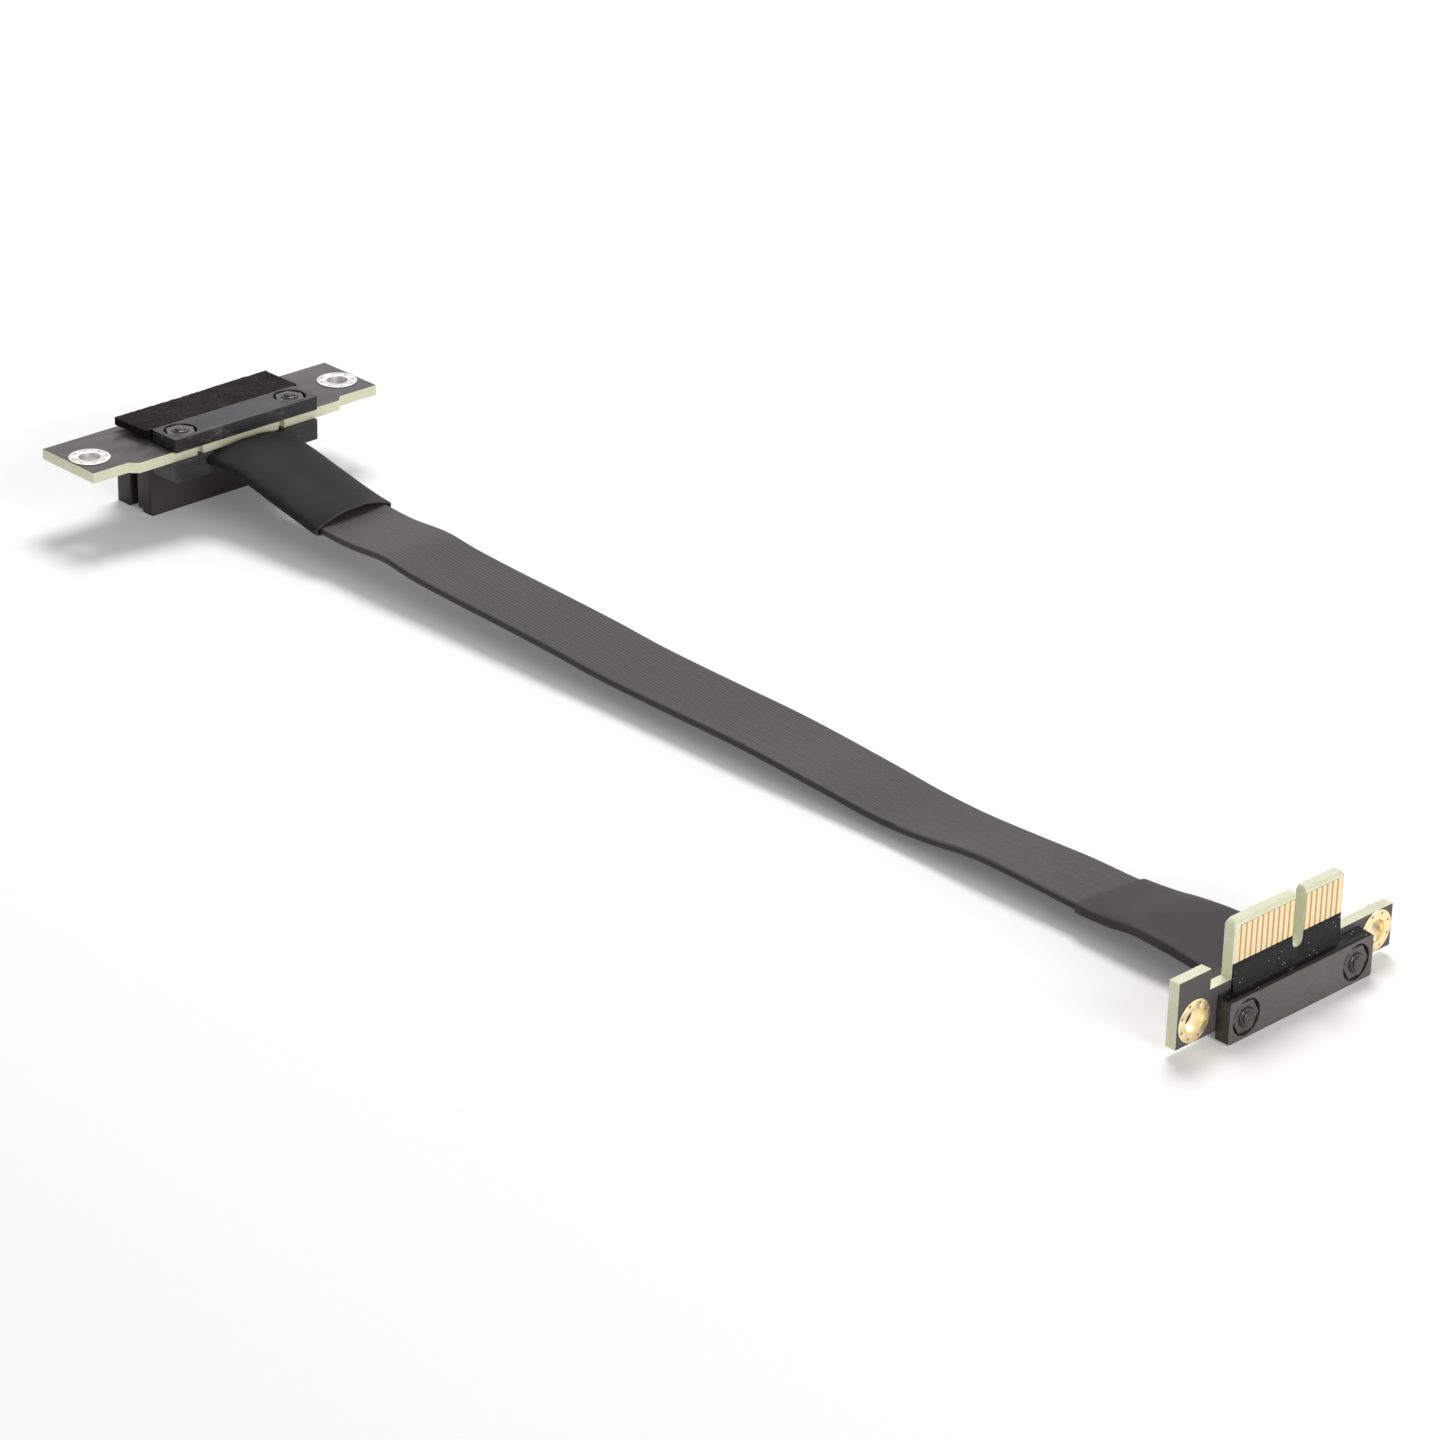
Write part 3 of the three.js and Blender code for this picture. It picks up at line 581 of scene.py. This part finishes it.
# %% [markdown]
# ## The laminate boards
# A board is glass cloth in resin under a thin dark mask. Its sawn sides are bare: pale yellow-green,
# slightly see-through, with the cloth's layers showing as fine strata. Faces are sorted by where they
# point, so the mask lies on the two broad faces only.

# %% Mask and sawn laminate
mask = Finish("board_mask", Roughness=0.4, Specular_IOR_Level=0.3)
weave = mask.cells(1.5)
cloud = mask.noise(0.15, detail=3.0)
speck = mask.between(0.68, 0.74, mask.noise(9.0, detail=2.0))
mask.paint(
    mask.blend(speck * 0.3, mask.blend(cloud, tone(76, 73, 73), tone(88, 85, 84)), tone(120, 116, 112)),
    0.36 + cloud * 0.12,
)
mask.bump(weave + cloud, 0.006, 0.4)


def laminate(name, layer_axis):
    sawn = Finish(name, Roughness=0.5, Subsurface_Weight=0.25, Subsurface_Scale=0.0012)
    sawn.shader.inputs["Subsurface Radius"].default_value = (1.0, 1.0, 0.6)
    layers = sawn.maths("SINE", sawn.axis(layer_axis) * 24.0 + sawn.noise(0.8) * 3.0)
    stretch = {"Z": (1, 1, 5), "X": (5, 1, 1)}[layer_axis]
    fibre = sawn.noise(3.2, stretch, detail=5.0, rough=0.7)
    patch = sawn.noise(0.5, detail=2.0)
    share = sawn.between(0.3, 0.75, fibre * 0.6 + patch * 0.3 + layers * 0.06)
    sawn.paint(sawn.blend(share, tone(218, 219, 182), tone(244, 244, 230)), 0.42 + fibre * 0.3)
    sawn.bump(fibre + layers * 0.3, 0.03, 0.5)
    return sawn


flat_laminate = laminate("slot_board_laminate", "Z")
upright_laminate = laminate("plug_board_laminate", "X")
tell_finishes(mask, flat_laminate, upright_laminate)

# %% Slot board
slot_board = round_edges(copy_solid("slot_board", "slot_board_laminated"), "slot_board")
dress(slot_board, mask, flat_laminate, smooth=30)
paint_faces(slot_board, [lambda at, n: abs(n.z) > 0.95])
tell(slot_board)

# %% [markdown]
# ## Gold fingers
# The tab's fingers are thin gold pads on bare laminate: the mask stops just below them. The board is
# cut across at the mask's edge and at the fingers' ends, so each zone can take its own finish. Between
# the pads the bare laminate is painted tan-brown: its own tone over dark inner layers, darkened further
# with painted shade.

# %% Plated metals
def plated(name, light, dark, roughness):
    metal = Finish(name, Metallic=1.0)
    cloud = metal.noise(0.7, detail=3.0)
    wear = metal.noise(7.0, (1, 1, 0.25), detail=5.0, rough=0.6)
    metal.paint(metal.blend(cloud * 0.6 + wear * 0.4, tone(*dark), tone(*light)), roughness + wear * 0.18)
    metal.bump(wear + cloud * 2.0, 0.008, 0.5)
    return metal


finger_gold = plated("finger_gold", (255, 238, 202), (242, 216, 170), 0.34)
hole_gold = plated("hole_gold", (255, 242, 202), (252, 224, 168), 0.32)
hole_tin = plated("hole_tin", (226, 225, 222), (188, 186, 182), 0.34)
spring_gold = plated("spring_gold", (226, 190, 110), (190, 150, 76), 0.28)
tell_finishes(finger_gold, hole_gold, hole_tin, spring_gold)

# %% Gap between the fingers
finger_gap = Finish("finger_gap", Roughness=0.6)
grain = finger_gap.noise(5.0, detail=4.0)
# the gaps are painted darker than the sawn laminate: partly its own tone, partly painted shade
finger_gap.paint(finger_gap.blend(grain, tone(164, 130, 82), tone(196, 164, 112)), 0.5 + grain * 0.2)
tell_finishes(finger_gap)

# %% Plug board
FINGER_LOW = 9.45
FINGER_TOP = 14.35
TAB_SIDES = (-10.75, 9.55)
FINGER_SPAN = (-9.72, 9.28)
PLUG_FACES = (106.825, 108.425)  # the board's two faces, below the thin pads
PAD_LIFT = 0.015  # a point this far out of them is on a pad
plug_board = copy_solid("plug_board", "plug_board_laminated")
cuts = [((0, 0, z * MM), (0, 0, 1)) for z in (FINGER_LOW, FINGER_TOP)]
cuts += [((0, y * MM, 0), (0, 1, 0)) for y in FINGER_SPAN]
for place, normal in cuts:
    solo(plug_board)
    bpy.ops.object.mode_set(mode="EDIT")
    bpy.ops.mesh.select_all(action="SELECT")
    bpy.ops.mesh.bisect(plane_co=place, plane_no=normal)
    bpy.ops.object.mode_set(mode="OBJECT")
round_edges(plug_board, "plug_board", segments=1)
dress(plug_board, finger_gold, finger_gap, mask, upright_laminate, smooth=30)


def on_finger(at, n):
    return at.x > PLUG_FACES[1] + PAD_LIFT or at.x < PLUG_FACES[0] - PAD_LIFT


def in_gap(at, n):
    between_fingers = FINGER_SPAN[0] < at.y < FINGER_SPAN[1]
    return abs(n.x) > 0.9 and between_fingers and FINGER_LOW < at.z < FINGER_TOP


def under_mask(at, n):
    on_tab = TAB_SIDES[0] - 0.1 < at.y < TAB_SIDES[1] + 0.1
    return abs(n.x) > 0.95 and not (on_tab and at.z > FINGER_LOW)


paint_faces(plug_board, [on_finger, in_gap, under_mask])
tell(plug_board)

# %% [markdown]
# ## Plated holes
# Each mounting hole is lined with metal, with a broad land on both faces and a ring of eight small vias
# stitched through it. The lands and the vias come from the solids; the edges get a hair of roundness.
# A thin ring runs under the vias, just below the land's face, as their filled bottoms; it is painted
# darker than the land, as the shade inside the small holes.

# %% Dress the platings
VIA_DEPTH = 0.03  # how far the ring's middle lies below the land's face
VIA_RING = {"slot": 2.35, "plug": 2.24}  # radius of the circle of vias
VIA_WALL = 0.3 * MM
VIA_FLATNESS = 0.04
RING_SEGMENTS = (48, 8)


def flat_ring(name, centre, axis, radius, wall, flatness):
    """Thin ring lying across axis: a torus pressed flat."""
    bpy.ops.object.select_all(action="DESELECT")
    bpy.ops.mesh.primitive_torus_add(
        major_segments=RING_SEGMENTS[0],
        minor_segments=RING_SEGMENTS[1],
        major_radius=radius,
        minor_radius=wall,
    )
    made = bpy.context.object
    made.name = made.data.name = name
    turn = Vector((0, 0, 1)).rotation_difference(Vector(axis)).to_matrix().to_4x4()
    made.data.transform(Matrix.Translation(centre) @ turn @ Matrix.Diagonal((1, 1, flatness, 1)))
    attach(made, "root")
    return made


# via floors: a darker copy of the plating, painted shade of the small holes
def via_shade_finish(name, low, high):
    via = Finish(name, Roughness=0.6)
    return via.paint(via.blend(via.noise(6.0), tone(*low), tone(*high)))


gold_hole_shade = via_shade_finish("gold_via_floor", (140, 98, 46), (180, 132, 72))
tin_hole_shade = via_shade_finish("tin_via_floor", (104, 100, 95), (136, 132, 126))
for end, metal, via_shade, metal_slot, way in (
    ("slot", hole_tin, tin_hole_shade, "tin", (0, 0, 1)),
    ("plug", hole_gold, gold_hole_shade, "gold", (1, 0, 0)),
):
    for side in ("left", "right"):
        node = f"{end}_hole_plating_{side}"
        land = round_edges(copy_solid(node, f"{end}_hole_land_{side}"), "land")
        dress(land, metal, smooth=35)
        low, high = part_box(node)
        centre = [(high[k] - VIA_DEPTH * MM if way[k] else (low[k] + high[k]) / 2) for k in range(3)]
        radius = VIA_RING[end] * MM
        floor_ring = flat_ring(f"{end}_via_floor_{side}", centre, way, radius, VIA_WALL, VIA_FLATNESS)
        dress(floor_ring, via_shade, smooth=30)
        tell(land, floor_ring)

# %% [markdown]
# ## Clamp bars
# Four bars pinch the wire joints against the boards. They are dark filled plastic, milled to size: fine
# lines run along them, the corners are rounded a little, and the long sides carry nicks. Their sides and
# ends take darker copies of the finish, painted shade, and the lower slot bar's upper edge towards the
# ribbon carries a painted highlight.

# %% Bar finish
def bar_finish(name, low, high, scuffs):
    bar = Finish(name, Roughness=0.5, Specular_IOR_Level=0.2)
    line = bar.between(0.3, 0.7, bar.noise(5.0, (1, 0.05, 1), detail=5.0, rough=0.65))
    cloud = bar.noise(0.35, detail=4.0)
    nick = bar.between(0.66, 0.72, bar.noise(1.3, detail=10.0, rough=0.75))
    rub = bar.between(0.52, 0.64, bar.noise(1.1, (1, 0.3, 1), detail=9.0, rough=0.75))
    body = bar.blend(line * 0.5 + cloud * 0.5, tone(*low), tone(*high))
    marks = nick * 0.45 + rub * scuffs
    bar.paint(bar.blend(marks, body, tone(128, 123, 120)), 0.4 + line * 0.16 + nick * 0.12)
    bar.bump(line * 0.6 + cloud - nick * 1.4 - rub * scuffs * 2.0, 0.03, 0.55)
    return bar


slot_bar = bar_finish("slot_bar_composite", (60, 59, 61), (80, 79, 81), 0.14)
# sides and upper edges of the top slot bar: a darker copy, painted shade, with real scuffs
top_bar_shaded_side = bar_finish("slot_bar_sawn_side", (30, 29, 31), (62, 60, 62), 0.4)
# ends of the top slot bar: darker still, painted shade
top_bar_shaded_end = bar_finish("slot_bar_cut_end", (22, 21, 22), (38, 37, 38), 0.15)
# sides of the lower slot bar: a darker copy, painted shade
low_bar_shaded_side = bar_finish("slot_bar_worn_side", (44, 43, 45), (64, 62, 64), 0.15)
# upper front edge of the lower slot bar: a painted highlight
low_bar_painted_highlight = bar_finish("slot_bar_worn_edge", (92, 90, 92), (150, 148, 150), 0.0)
plug_bar = bar_finish("plug_bar_composite", (90, 84, 82), (112, 106, 103), 0.2)
# all but the broad faces of the plug bars: a darker, browner copy, painted shade
plug_bar_shaded_faces = bar_finish("plug_bar_sawn_side", (56, 50, 44), (74, 67, 60), 0.25)
tell_finishes(slot_bar, top_bar_shaded_side, top_bar_shaded_end, low_bar_shaded_side, low_bar_painted_highlight, plug_bar, plug_bar_shaded_faces)

# %% Bars
for node, face, end, edge, side in (
    ("slot_top_bar", slot_bar, top_bar_shaded_end, top_bar_shaded_side, top_bar_shaded_side),
    ("slot_bottom_bar", slot_bar, slot_bar, low_bar_painted_highlight, low_bar_shaded_side),
    ("plug_front_bar", plug_bar, plug_bar_shaded_faces, plug_bar_shaded_faces, plug_bar_shaded_faces),
    ("plug_rear_bar", plug_bar, plug_bar_shaded_faces, plug_bar_shaded_faces, plug_bar_shaded_faces),
):
    bar = round_edges(copy_solid(node, f"{node}_milled"), "bar")
    dress(bar, face, end, edge, side, smooth=35)
    way = 2 if node.startswith("slot") else 0
    rules = [
        lambda at, n, way=way: abs(n[way]) > 0.8,  # broad faces
        lambda at, n: abs(n.y) > 0.8,  # ends
        lambda at, n: n.x > 0.2 and n.z > 0.2,  # upper edge towards the ribbon
    ]
    paint_faces(bar, rules)
    tell(bar)

# %% [markdown]
# ## Nuts and screws
# Hexagon nuts are sunk flush in round seats of the outer bars. The screws come through them from the
# other side, and their cropped tips show in the middle of each nut: a turn of thread, then a stepped end
# whose rims catch the light. A dark ring round each tip paints the shade inside the nut's bore.

# %% Blackened steel
steel = Finish("blackened_steel", Metallic=0.35)
cloud = steel.noise(0.9, detail=4.0)
rub = steel.between(0.5, 0.75, steel.noise(3.0, detail=6.0, rough=0.7))
steel.paint(
    steel.blend(rub, steel.blend(cloud, tone(72, 69, 68), tone(94, 90, 89)), tone(124, 119, 117)),
    0.4 - rub * 0.1 + cloud * 0.1,
)
steel.bump(rub + cloud, 0.015, 0.5)
dark_steel = Finish("oiled_thread_steel", Metallic=0.8)
cloud = dark_steel.noise(2.0, detail=4.0)
glint = dark_steel.between(0.66, 0.72, dark_steel.noise(4.5, detail=3.0))
body = dark_steel.blend(cloud, tone(56, 54, 54), tone(104, 101, 100))
dark_steel.paint(dark_steel.blend(glint, body, tone(196, 193, 190)), 0.16 + cloud * 0.14)
dark_steel.bump(cloud, 0.03, 0.6)
tell_finishes(steel, dark_steel)

# %% Thread turned by the spin tool
TIP_RADIUS = 1.12 * MM
TIP_LOW = -1.1 * MM
TIP_HIGH = 0.55 * MM
TIP_STEPS = (  # each corner of the stepped end: how far in from the radius, how far below the top
    (0.0, 0.3),
    (0.08, 0.26),
    (0.24, 0.26),
    (0.26, 0.1),
    (0.32, 0.06),
    (0.5, 0.06),
    (0.52, 0.02),
)
THREAD_PITCH = 0.5 * MM
THREAD_DEPTH = 0.24 * MM
SPIN_STEPS = 40
TIP_DENT = 0.05 * MM


def threaded_tip(name, centre, axis):
    """Short cropped thread along axis: a zigzag line with a stepped end, spun to a closed form."""
    crown = TIP_HIGH - TIP_STEPS[0][1] * MM
    steps = int(round((crown - TIP_LOW) / THREAD_PITCH * 2))
    line = [Vector((0, 0, TIP_LOW))]
    for i in range(steps + 1):
        across = TIP_RADIUS - (THREAD_DEPTH if i % 2 else 0.0)
        line.append(Vector((across, 0, TIP_LOW + i * (crown - TIP_LOW) / steps)))
    for inset, drop in TIP_STEPS:
        line.append(Vector((TIP_RADIUS - inset * MM, 0, TIP_HIGH - drop * MM)))
    line.append(Vector((0, 0, TIP_HIGH)))
    mesh = bpy.data.meshes.new(name)
    mesh.from_pydata(line, [(i, i + 1) for i in range(len(line) - 1)], [])
    made = bpy.data.objects.new(name, mesh)
    bpy.context.collection.objects.link(made)
    solo(made)
    bpy.ops.object.mode_set(mode="EDIT")
    bpy.ops.mesh.select_all(action="SELECT")
    bpy.ops.mesh.spin(steps=SPIN_STEPS, angle=2 * math.pi, center=(0, 0, 0), axis=(0, 0, 1))
    bpy.ops.mesh.select_all(action="SELECT")
    bpy.ops.mesh.remove_doubles(threshold=0.003 * MM)
    bpy.ops.mesh.normals_make_consistent(inside=False)
    bpy.ops.object.mode_set(mode="OBJECT")
    for v in made.data.vertices:
        if v.co.z > TIP_HIGH - 0.3 * MM:
            v.co.z += noise.noise(v.co * 1400 + Vector(centre) * 900) * TIP_DENT
    turn = Vector((0, 0, 1)).rotation_difference(Vector(axis)).to_matrix().to_4x4()
    made.data.transform(Matrix.Translation(centre) @ turn)
    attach(made, "root")
    return made


# %% Painted shade in a nut's bore
BORE_R = 1.26 * MM
BORE_WALL = 0.16 * MM
BORE_FLATNESS = 0.2
# a dark flat ring that stands for the shade in the bore: painted shade
bore_shadow = Finish("oiled_bore", Roughness=0.35, Metallic=0.3)
shade_mottle = bore_shadow.noise(3.0)
bore_shadow.paint(bore_shadow.blend(shade_mottle, tone(16, 15, 15), tone(40, 38, 38)))
tell_finishes(bore_shadow)

# %% Fasteners at both ends
for end, axis in (("slot", (0, 0, 1)), ("plug", (1, 0, 0))):
    for side in ("left", "right"):
        nut = round_edges(copy_solid(f"{end}_nut_{side}", f"{end}_nut_{side}_hexagon"), "nut")
        dress(nut, steel, smooth=30)
        screw = round_edges(copy_solid(f"{end}_screw_{side}", f"{end}_screw_{side}_cropped"), "screw")
        dress(screw, dark_steel, smooth=35)
        low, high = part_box(f"{end}_nut_{side}")
        top = Vector([high[k] if axis[k] else (low[k] + high[k]) / 2 for k in range(3)])
        tip = threaded_tip(f"{end}_screw_{side}_tip", top, axis)
        dress(tip, dark_steel, smooth=30)
        bore = flat_ring(f"{end}_nut_{side}_bore", top, axis, BORE_R, BORE_WALL, BORE_FLATNESS)
        dress(bore, bore_shadow, smooth=30)
        tell(nut, screw, tip, bore)

# %% [markdown]
# ## The socket
# One moulding of glass-filled plastic, open at one end so a longer card fits. Small spring contacts
# line the card slot. The moulding keeps its solid's shape, with softened edges; the springs are gold.

# %% Housing and contacts
def moulding_finish(name, low, high):
    moulding = Finish(name, Roughness=0.5, Specular_IOR_Level=0.3)
    flow = moulding.noise(0.25, detail=3.0)
    pores = moulding.noise(8.0, detail=6.0, rough=0.7)
    moulding.paint(moulding.blend(flow, tone(*low), tone(*high)), 0.44 + pores * 0.16)
    moulding.bump(pores + flow, 0.012, 0.6)
    return moulding


# the long side facing +X takes a lighter copy of the moulding: painted light
painted_light_side = moulding_finish("socket_long_side", (62, 58, 56), (76, 72, 70))
moulding = moulding_finish("socket_moulding", (36, 34, 33), (50, 47, 46))
housing = round_edges(copy_solid("slot_housing", "slot_housing_moulding"), "housing")
dress(housing, painted_light_side, moulding, smooth=35)
housing_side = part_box("slot_housing")[1][0] / MM
paint_faces(housing, [lambda at, n: n.x > 0.5 and at.x > housing_side - 0.3])
springs = [node for name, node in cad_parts.items() if name.startswith("slot_contact")]
for spring in springs:
    dress(spring, spring_gold)
tell(housing)
print("contacts:", len(springs))

# %% [markdown]
# ## The foam pad
# A strip of soft dark foam covers the soldered pins behind the bar. Its cut sides show open cells and
# are painted darker than its top, partly as shade, and its left end has peeled off the board a little. A
# block is subdivided finely, its ends and edges are pulled into the real outline, and a fine noise pits
# the surface.

# %% Foam pad
FOAM_BOX = [Vector(c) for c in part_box("slot_foam_pad")]
FOAM_STEP = 0.16 * MM
CURL_SHARE = 0.16  # this share of the pad's length has peeled off
CURL_LIFT = 0.75 * MM
CURL_TOP = 0.1 * MM
CURL_OUT = 0.35 * MM
SIDE_BOW = 0.12 * MM
COARSE_PITS = 0.06 * MM
FINE_PITS = 0.07 * MM
SKIN_IN = 0.08 * MM
size = FOAM_BOX[1] - FOAM_BOX[0]
bpy.ops.object.select_all(action="DESELECT")
bpy.ops.mesh.primitive_cube_add(size=1, location=(0, 0, 0))
foam = bpy.context.object
foam.name = foam.data.name = "foam_pad_soft"
foam.data.transform(Matrix.Diagonal((*size, 1)))
work = bmesh.new()
work.from_mesh(foam.data)
for k in range(3):
    cuts = int(size[k] / FOAM_STEP)
    for i in range(1, cuts):
        at = Vector((0, 0, 0))
        at[k] = -size[k] / 2 + size[k] * i / cuts
        way = Vector((0, 0, 0))
        way[k] = 1
        everything = work.verts[:] + work.edges[:] + work.faces[:]
        bmesh.ops.bisect_plane(work, geom=everything, plane_co=at, plane_no=way, dist=1e-7)
work.to_mesh(foam.data)
work.free()
middle = (FOAM_BOX[0] + FOAM_BOX[1]) / 2
normals = [v.normal.copy() for v in foam.data.vertices]
for v, n in zip(foam.data.vertices, normals):
    share = v.co.y / size.y + 0.5
    curl = max(0.0, 1 - share / CURL_SHARE) ** 2
    across = v.co.x / size.x + 0.5
    low = v.co.z / size.z + 0.5
    v.co.z += curl * CURL_LIFT * (1 - low)
    v.co.z -= curl * CURL_TOP * low
    v.co.y -= CURL_OUT * curl * (1 - across)
    v.co.x += SIDE_BOW * math.sin(share * 5.0) * (1 - across)
    pits = noise.noise(v.co * 2600) * FINE_PITS + noise.noise(v.co * 900) * COARSE_PITS
    v.co += n * (pits - SKIN_IN)
    v.co += middle
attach(foam, "root")
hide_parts("slot_foam_pad")
tell(foam)

# %% Foam finish
def foam_finish(name, low, high):
    foam_skin = Finish(name, Roughness=0.95, Specular_IOR_Level=0.1)
    pit = foam_skin.cells(7.0)
    blotch = foam_skin.noise(3.4, detail=8.0, rough=0.8)
    wash = foam_skin.noise(0.25, detail=2.0)
    share = foam_skin.between(0.38, 0.66, blotch * 0.8 + wash * 0.2)
    foam_skin.paint(foam_skin.blend(share, tone(*low), tone(*high)))
    foam_skin.bump(pit + blotch, 0.1, 0.9)
    return foam_skin


foam_top = foam_finish("open_foam", (24, 22, 21), (70, 65, 63))
# the sides take a darker copy: open cells, and painted shade
foam_shaded_side = foam_finish("cut_foam", (14, 13, 13), (30, 28, 27))
dress(foam, foam_top, foam_shaded_side, smooth=60)
paint_faces(foam, [lambda at, n: n.z > 0.55])
tell_finishes(foam_top, foam_shaded_side)

# %% [markdown]
# ## The glue
# Black setting glue was run along the joint of the plug's front bar. It wets the board up to the gold
# fingers, pools in the corner and creeps over the bar's top. A strip is lofted from one end to the other
# with its outline disturbed by noise, and a gloss with a few white specks does the rest.

# %% Glue bead
BAR_TOP = 5.75
NOTCH_Y = 1.4
NOTCH_CENTRE_Z = 8.5
NOTCH_RADIUS = 1.05
GLUE_TOP = 9.4
GLUE_ENDS = (-13.0, 13.4)
GLUE_ON_EARS = 0.45  # how high it climbs beside the tab
GLUE_REACH = 1.98
GLUE_ROWS = 530


def glue_height(y):
    """Upper edge of the glue on the board: along the fingers' feet, lower round the key notch."""
    tab = min(1.0, max(0.0, (y - TAB_SIDES[0]) / 0.15), max(0.0, (TAB_SIDES[1] - y) / 0.15))
    from_notch = abs(y - NOTCH_Y)
    top = GLUE_TOP
    if from_notch < NOTCH_RADIUS:
        top = NOTCH_CENTRE_Z - math.sqrt(NOTCH_RADIUS**2 - from_notch**2)
    return (BAR_TOP + GLUE_ON_EARS) * (1 - tab) + top * tab


def glue_ring(y):
    """Section of the glue at y: over the bar's top, into the corner and up the board."""
    face = PLUG_FACES[1]
    wobble = noise.noise(Vector((y * 0.9, 3.1, 0)))
    fine = noise.noise(Vector((y * 3.1, 7.7, 0)))
    rag = noise.noise(Vector((y * 6.5, 1.7, 0)))
    top = glue_height(y)
    climb = top - BAR_TOP
    reach = face + GLUE_REACH + 0.09 * rag
    line = [
        (reach, BAR_TOP + 0.03),
        (reach - 0.06, BAR_TOP + 0.1 + 0.03 * fine),
        (face + 1.5, BAR_TOP + 0.12 + 0.05 * wobble),
        (face + 0.9, BAR_TOP + 0.16 + 0.06 * fine),
        (face + 0.5 + 0.03 * wobble, BAR_TOP + min(0.3, climb * 0.4)),
        (face + 0.3 + 0.02 * wobble, BAR_TOP + min(0.75, climb * 0.6)),
        (face + 0.14, BAR_TOP + climb * 0.75),
        (face + 0.09, top - 0.08),
        (face + 0.04, top),
        (face + 0.02, top - 0.04),
        (face + 0.02, BAR_TOP + 0.1),
        (face + 0.1, BAR_TOP + 0.02),
    ]
    return [Vector((x, y, z)) * MM for x, z in line]


rows = [glue_ring(y) for y in np.linspace(*GLUE_ENDS, GLUE_ROWS)]
glue = face_outwards(loft("plug_glue_run", rows))
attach(glue, "root")
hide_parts("plug_glue_bead")
tell(glue)

# %% Glue finish
wet = Finish("set_glue", Roughness=0.2, Specular_IOR_Level=0.2)
speck = wet.between(0.15, 0.1, wet.cells(1.9))
drift = wet.between(0.5, 0.58, wet.noise(0.7, detail=3.0))
swell = wet.noise(0.9, detail=3.0)
wet.paint(wet.blend(speck * drift, tone(20, 19, 20), tone(226, 224, 222)), 0.14 + swell * 0.16)
wet.bump(swell + speck * drift * 0.3, 0.08, 0.5)
dress(glue, wet, smooth=60)
tell_finishes(wet)

# %% [markdown]
# ## Floor and light
# The riser lies on a white sheet in even studio light. The floor is a pale plane that keeps the shadow
# and, further out, glows for the camera, metal and glass until it is plain white. One broad lamp stands
# above and behind, a weaker one beyond the plug end. With the soft surround they give a light at which a
# colour shows about as it is written.

# %% Floor
FLOOR_SIZE = 6
FADE = (220, 800)  # the floor starts to fade and is plain white so many millimetres from the middle
NEAR_GLOW = 0.1
FAR_GLOW = 0.8


def seen_rays(tree):
    """1 for rays of the camera, of metal and of glass, and 0 for the light that falls on the object."""
    path = tree.nodes.new("ShaderNodeLightPath")
    seen = path.outputs["Is Camera Ray"]
    for kind in ("Is Glossy Ray", "Is Transmission Ray"):
        either = tree.nodes.new("ShaderNodeMath")
        either.operation = "MAXIMUM"
        tree.links.new(seen, either.inputs[0])
        tree.links.new(path.outputs[kind], either.inputs[1])
        seen = either.outputs["Value"]
    return seen


bpy.ops.object.select_all(action="DESELECT")
bpy.ops.mesh.primitive_plane_add(size=FLOOR_SIZE, location=(0, 0, 0))
floor = bpy.context.object
floor.name = "floor"
paper = Finish("white_paper", Roughness=0.9)
seen = Wave(paper, seen_rays(paper.tree))
paper.paint(tone(246, 246, 246))
paper.shader.inputs["Emission Color"].default_value = (1, 1, 1, 1)
far = paper.node("ShaderNodeVectorMath", {"operation": "LENGTH"}, {0: paper.place()}, output=1)
paper.fill(paper.shader, "Emission Strength", seen * (NEAR_GLOW + paper.between(*FADE, far) * FAR_GLOW))
floor.data.materials.append(paper.material)
tell_finishes(paper)

# %% Lamps and surround
KEY = {"place": (-0.3, 0.33, 0.9), "size": 0.45, "power": 6.3}
FILL = {"place": (1.0, -0.15, 0.45), "size": 0.6, "power": 5.0}
AMBIENT = 0.3


def add_lamp(name, place, size, power):
    """Round lamp aimed at the middle of the object."""
    lamp = bpy.data.objects.new(name, bpy.data.lights.new(name, "AREA"))
    bpy.context.collection.objects.link(lamp)
    lamp.data.shape = "DISK"
    lamp.data.size = size
    lamp.data.energy = power
    lamp.location = place
    lamp.rotation_euler = (-Vector(place)).to_track_quat("-Z", "Y").to_euler()
    print("lamp", name, "at", place)


add_lamp("key", **KEY)
add_lamp("fill", **FILL)
surround = bpy.data.worlds.new("surround")
bpy.context.scene.world = surround
surround.use_nodes = True
air = surround.node_tree
back = air.nodes["Background"]
back.inputs["Color"].default_value = (1, 1, 1, 1)
level = air.nodes.new("ShaderNodeMapRange")
level.inputs["To Min"].default_value = AMBIENT
level.inputs["To Max"].default_value = 1.0
air.links.new(seen_rays(air), level.inputs["Value"])
air.links.new(level.outputs["Result"], back.inputs["Strength"])
bpy.context.scene.view_settings.view_transform = "Standard"
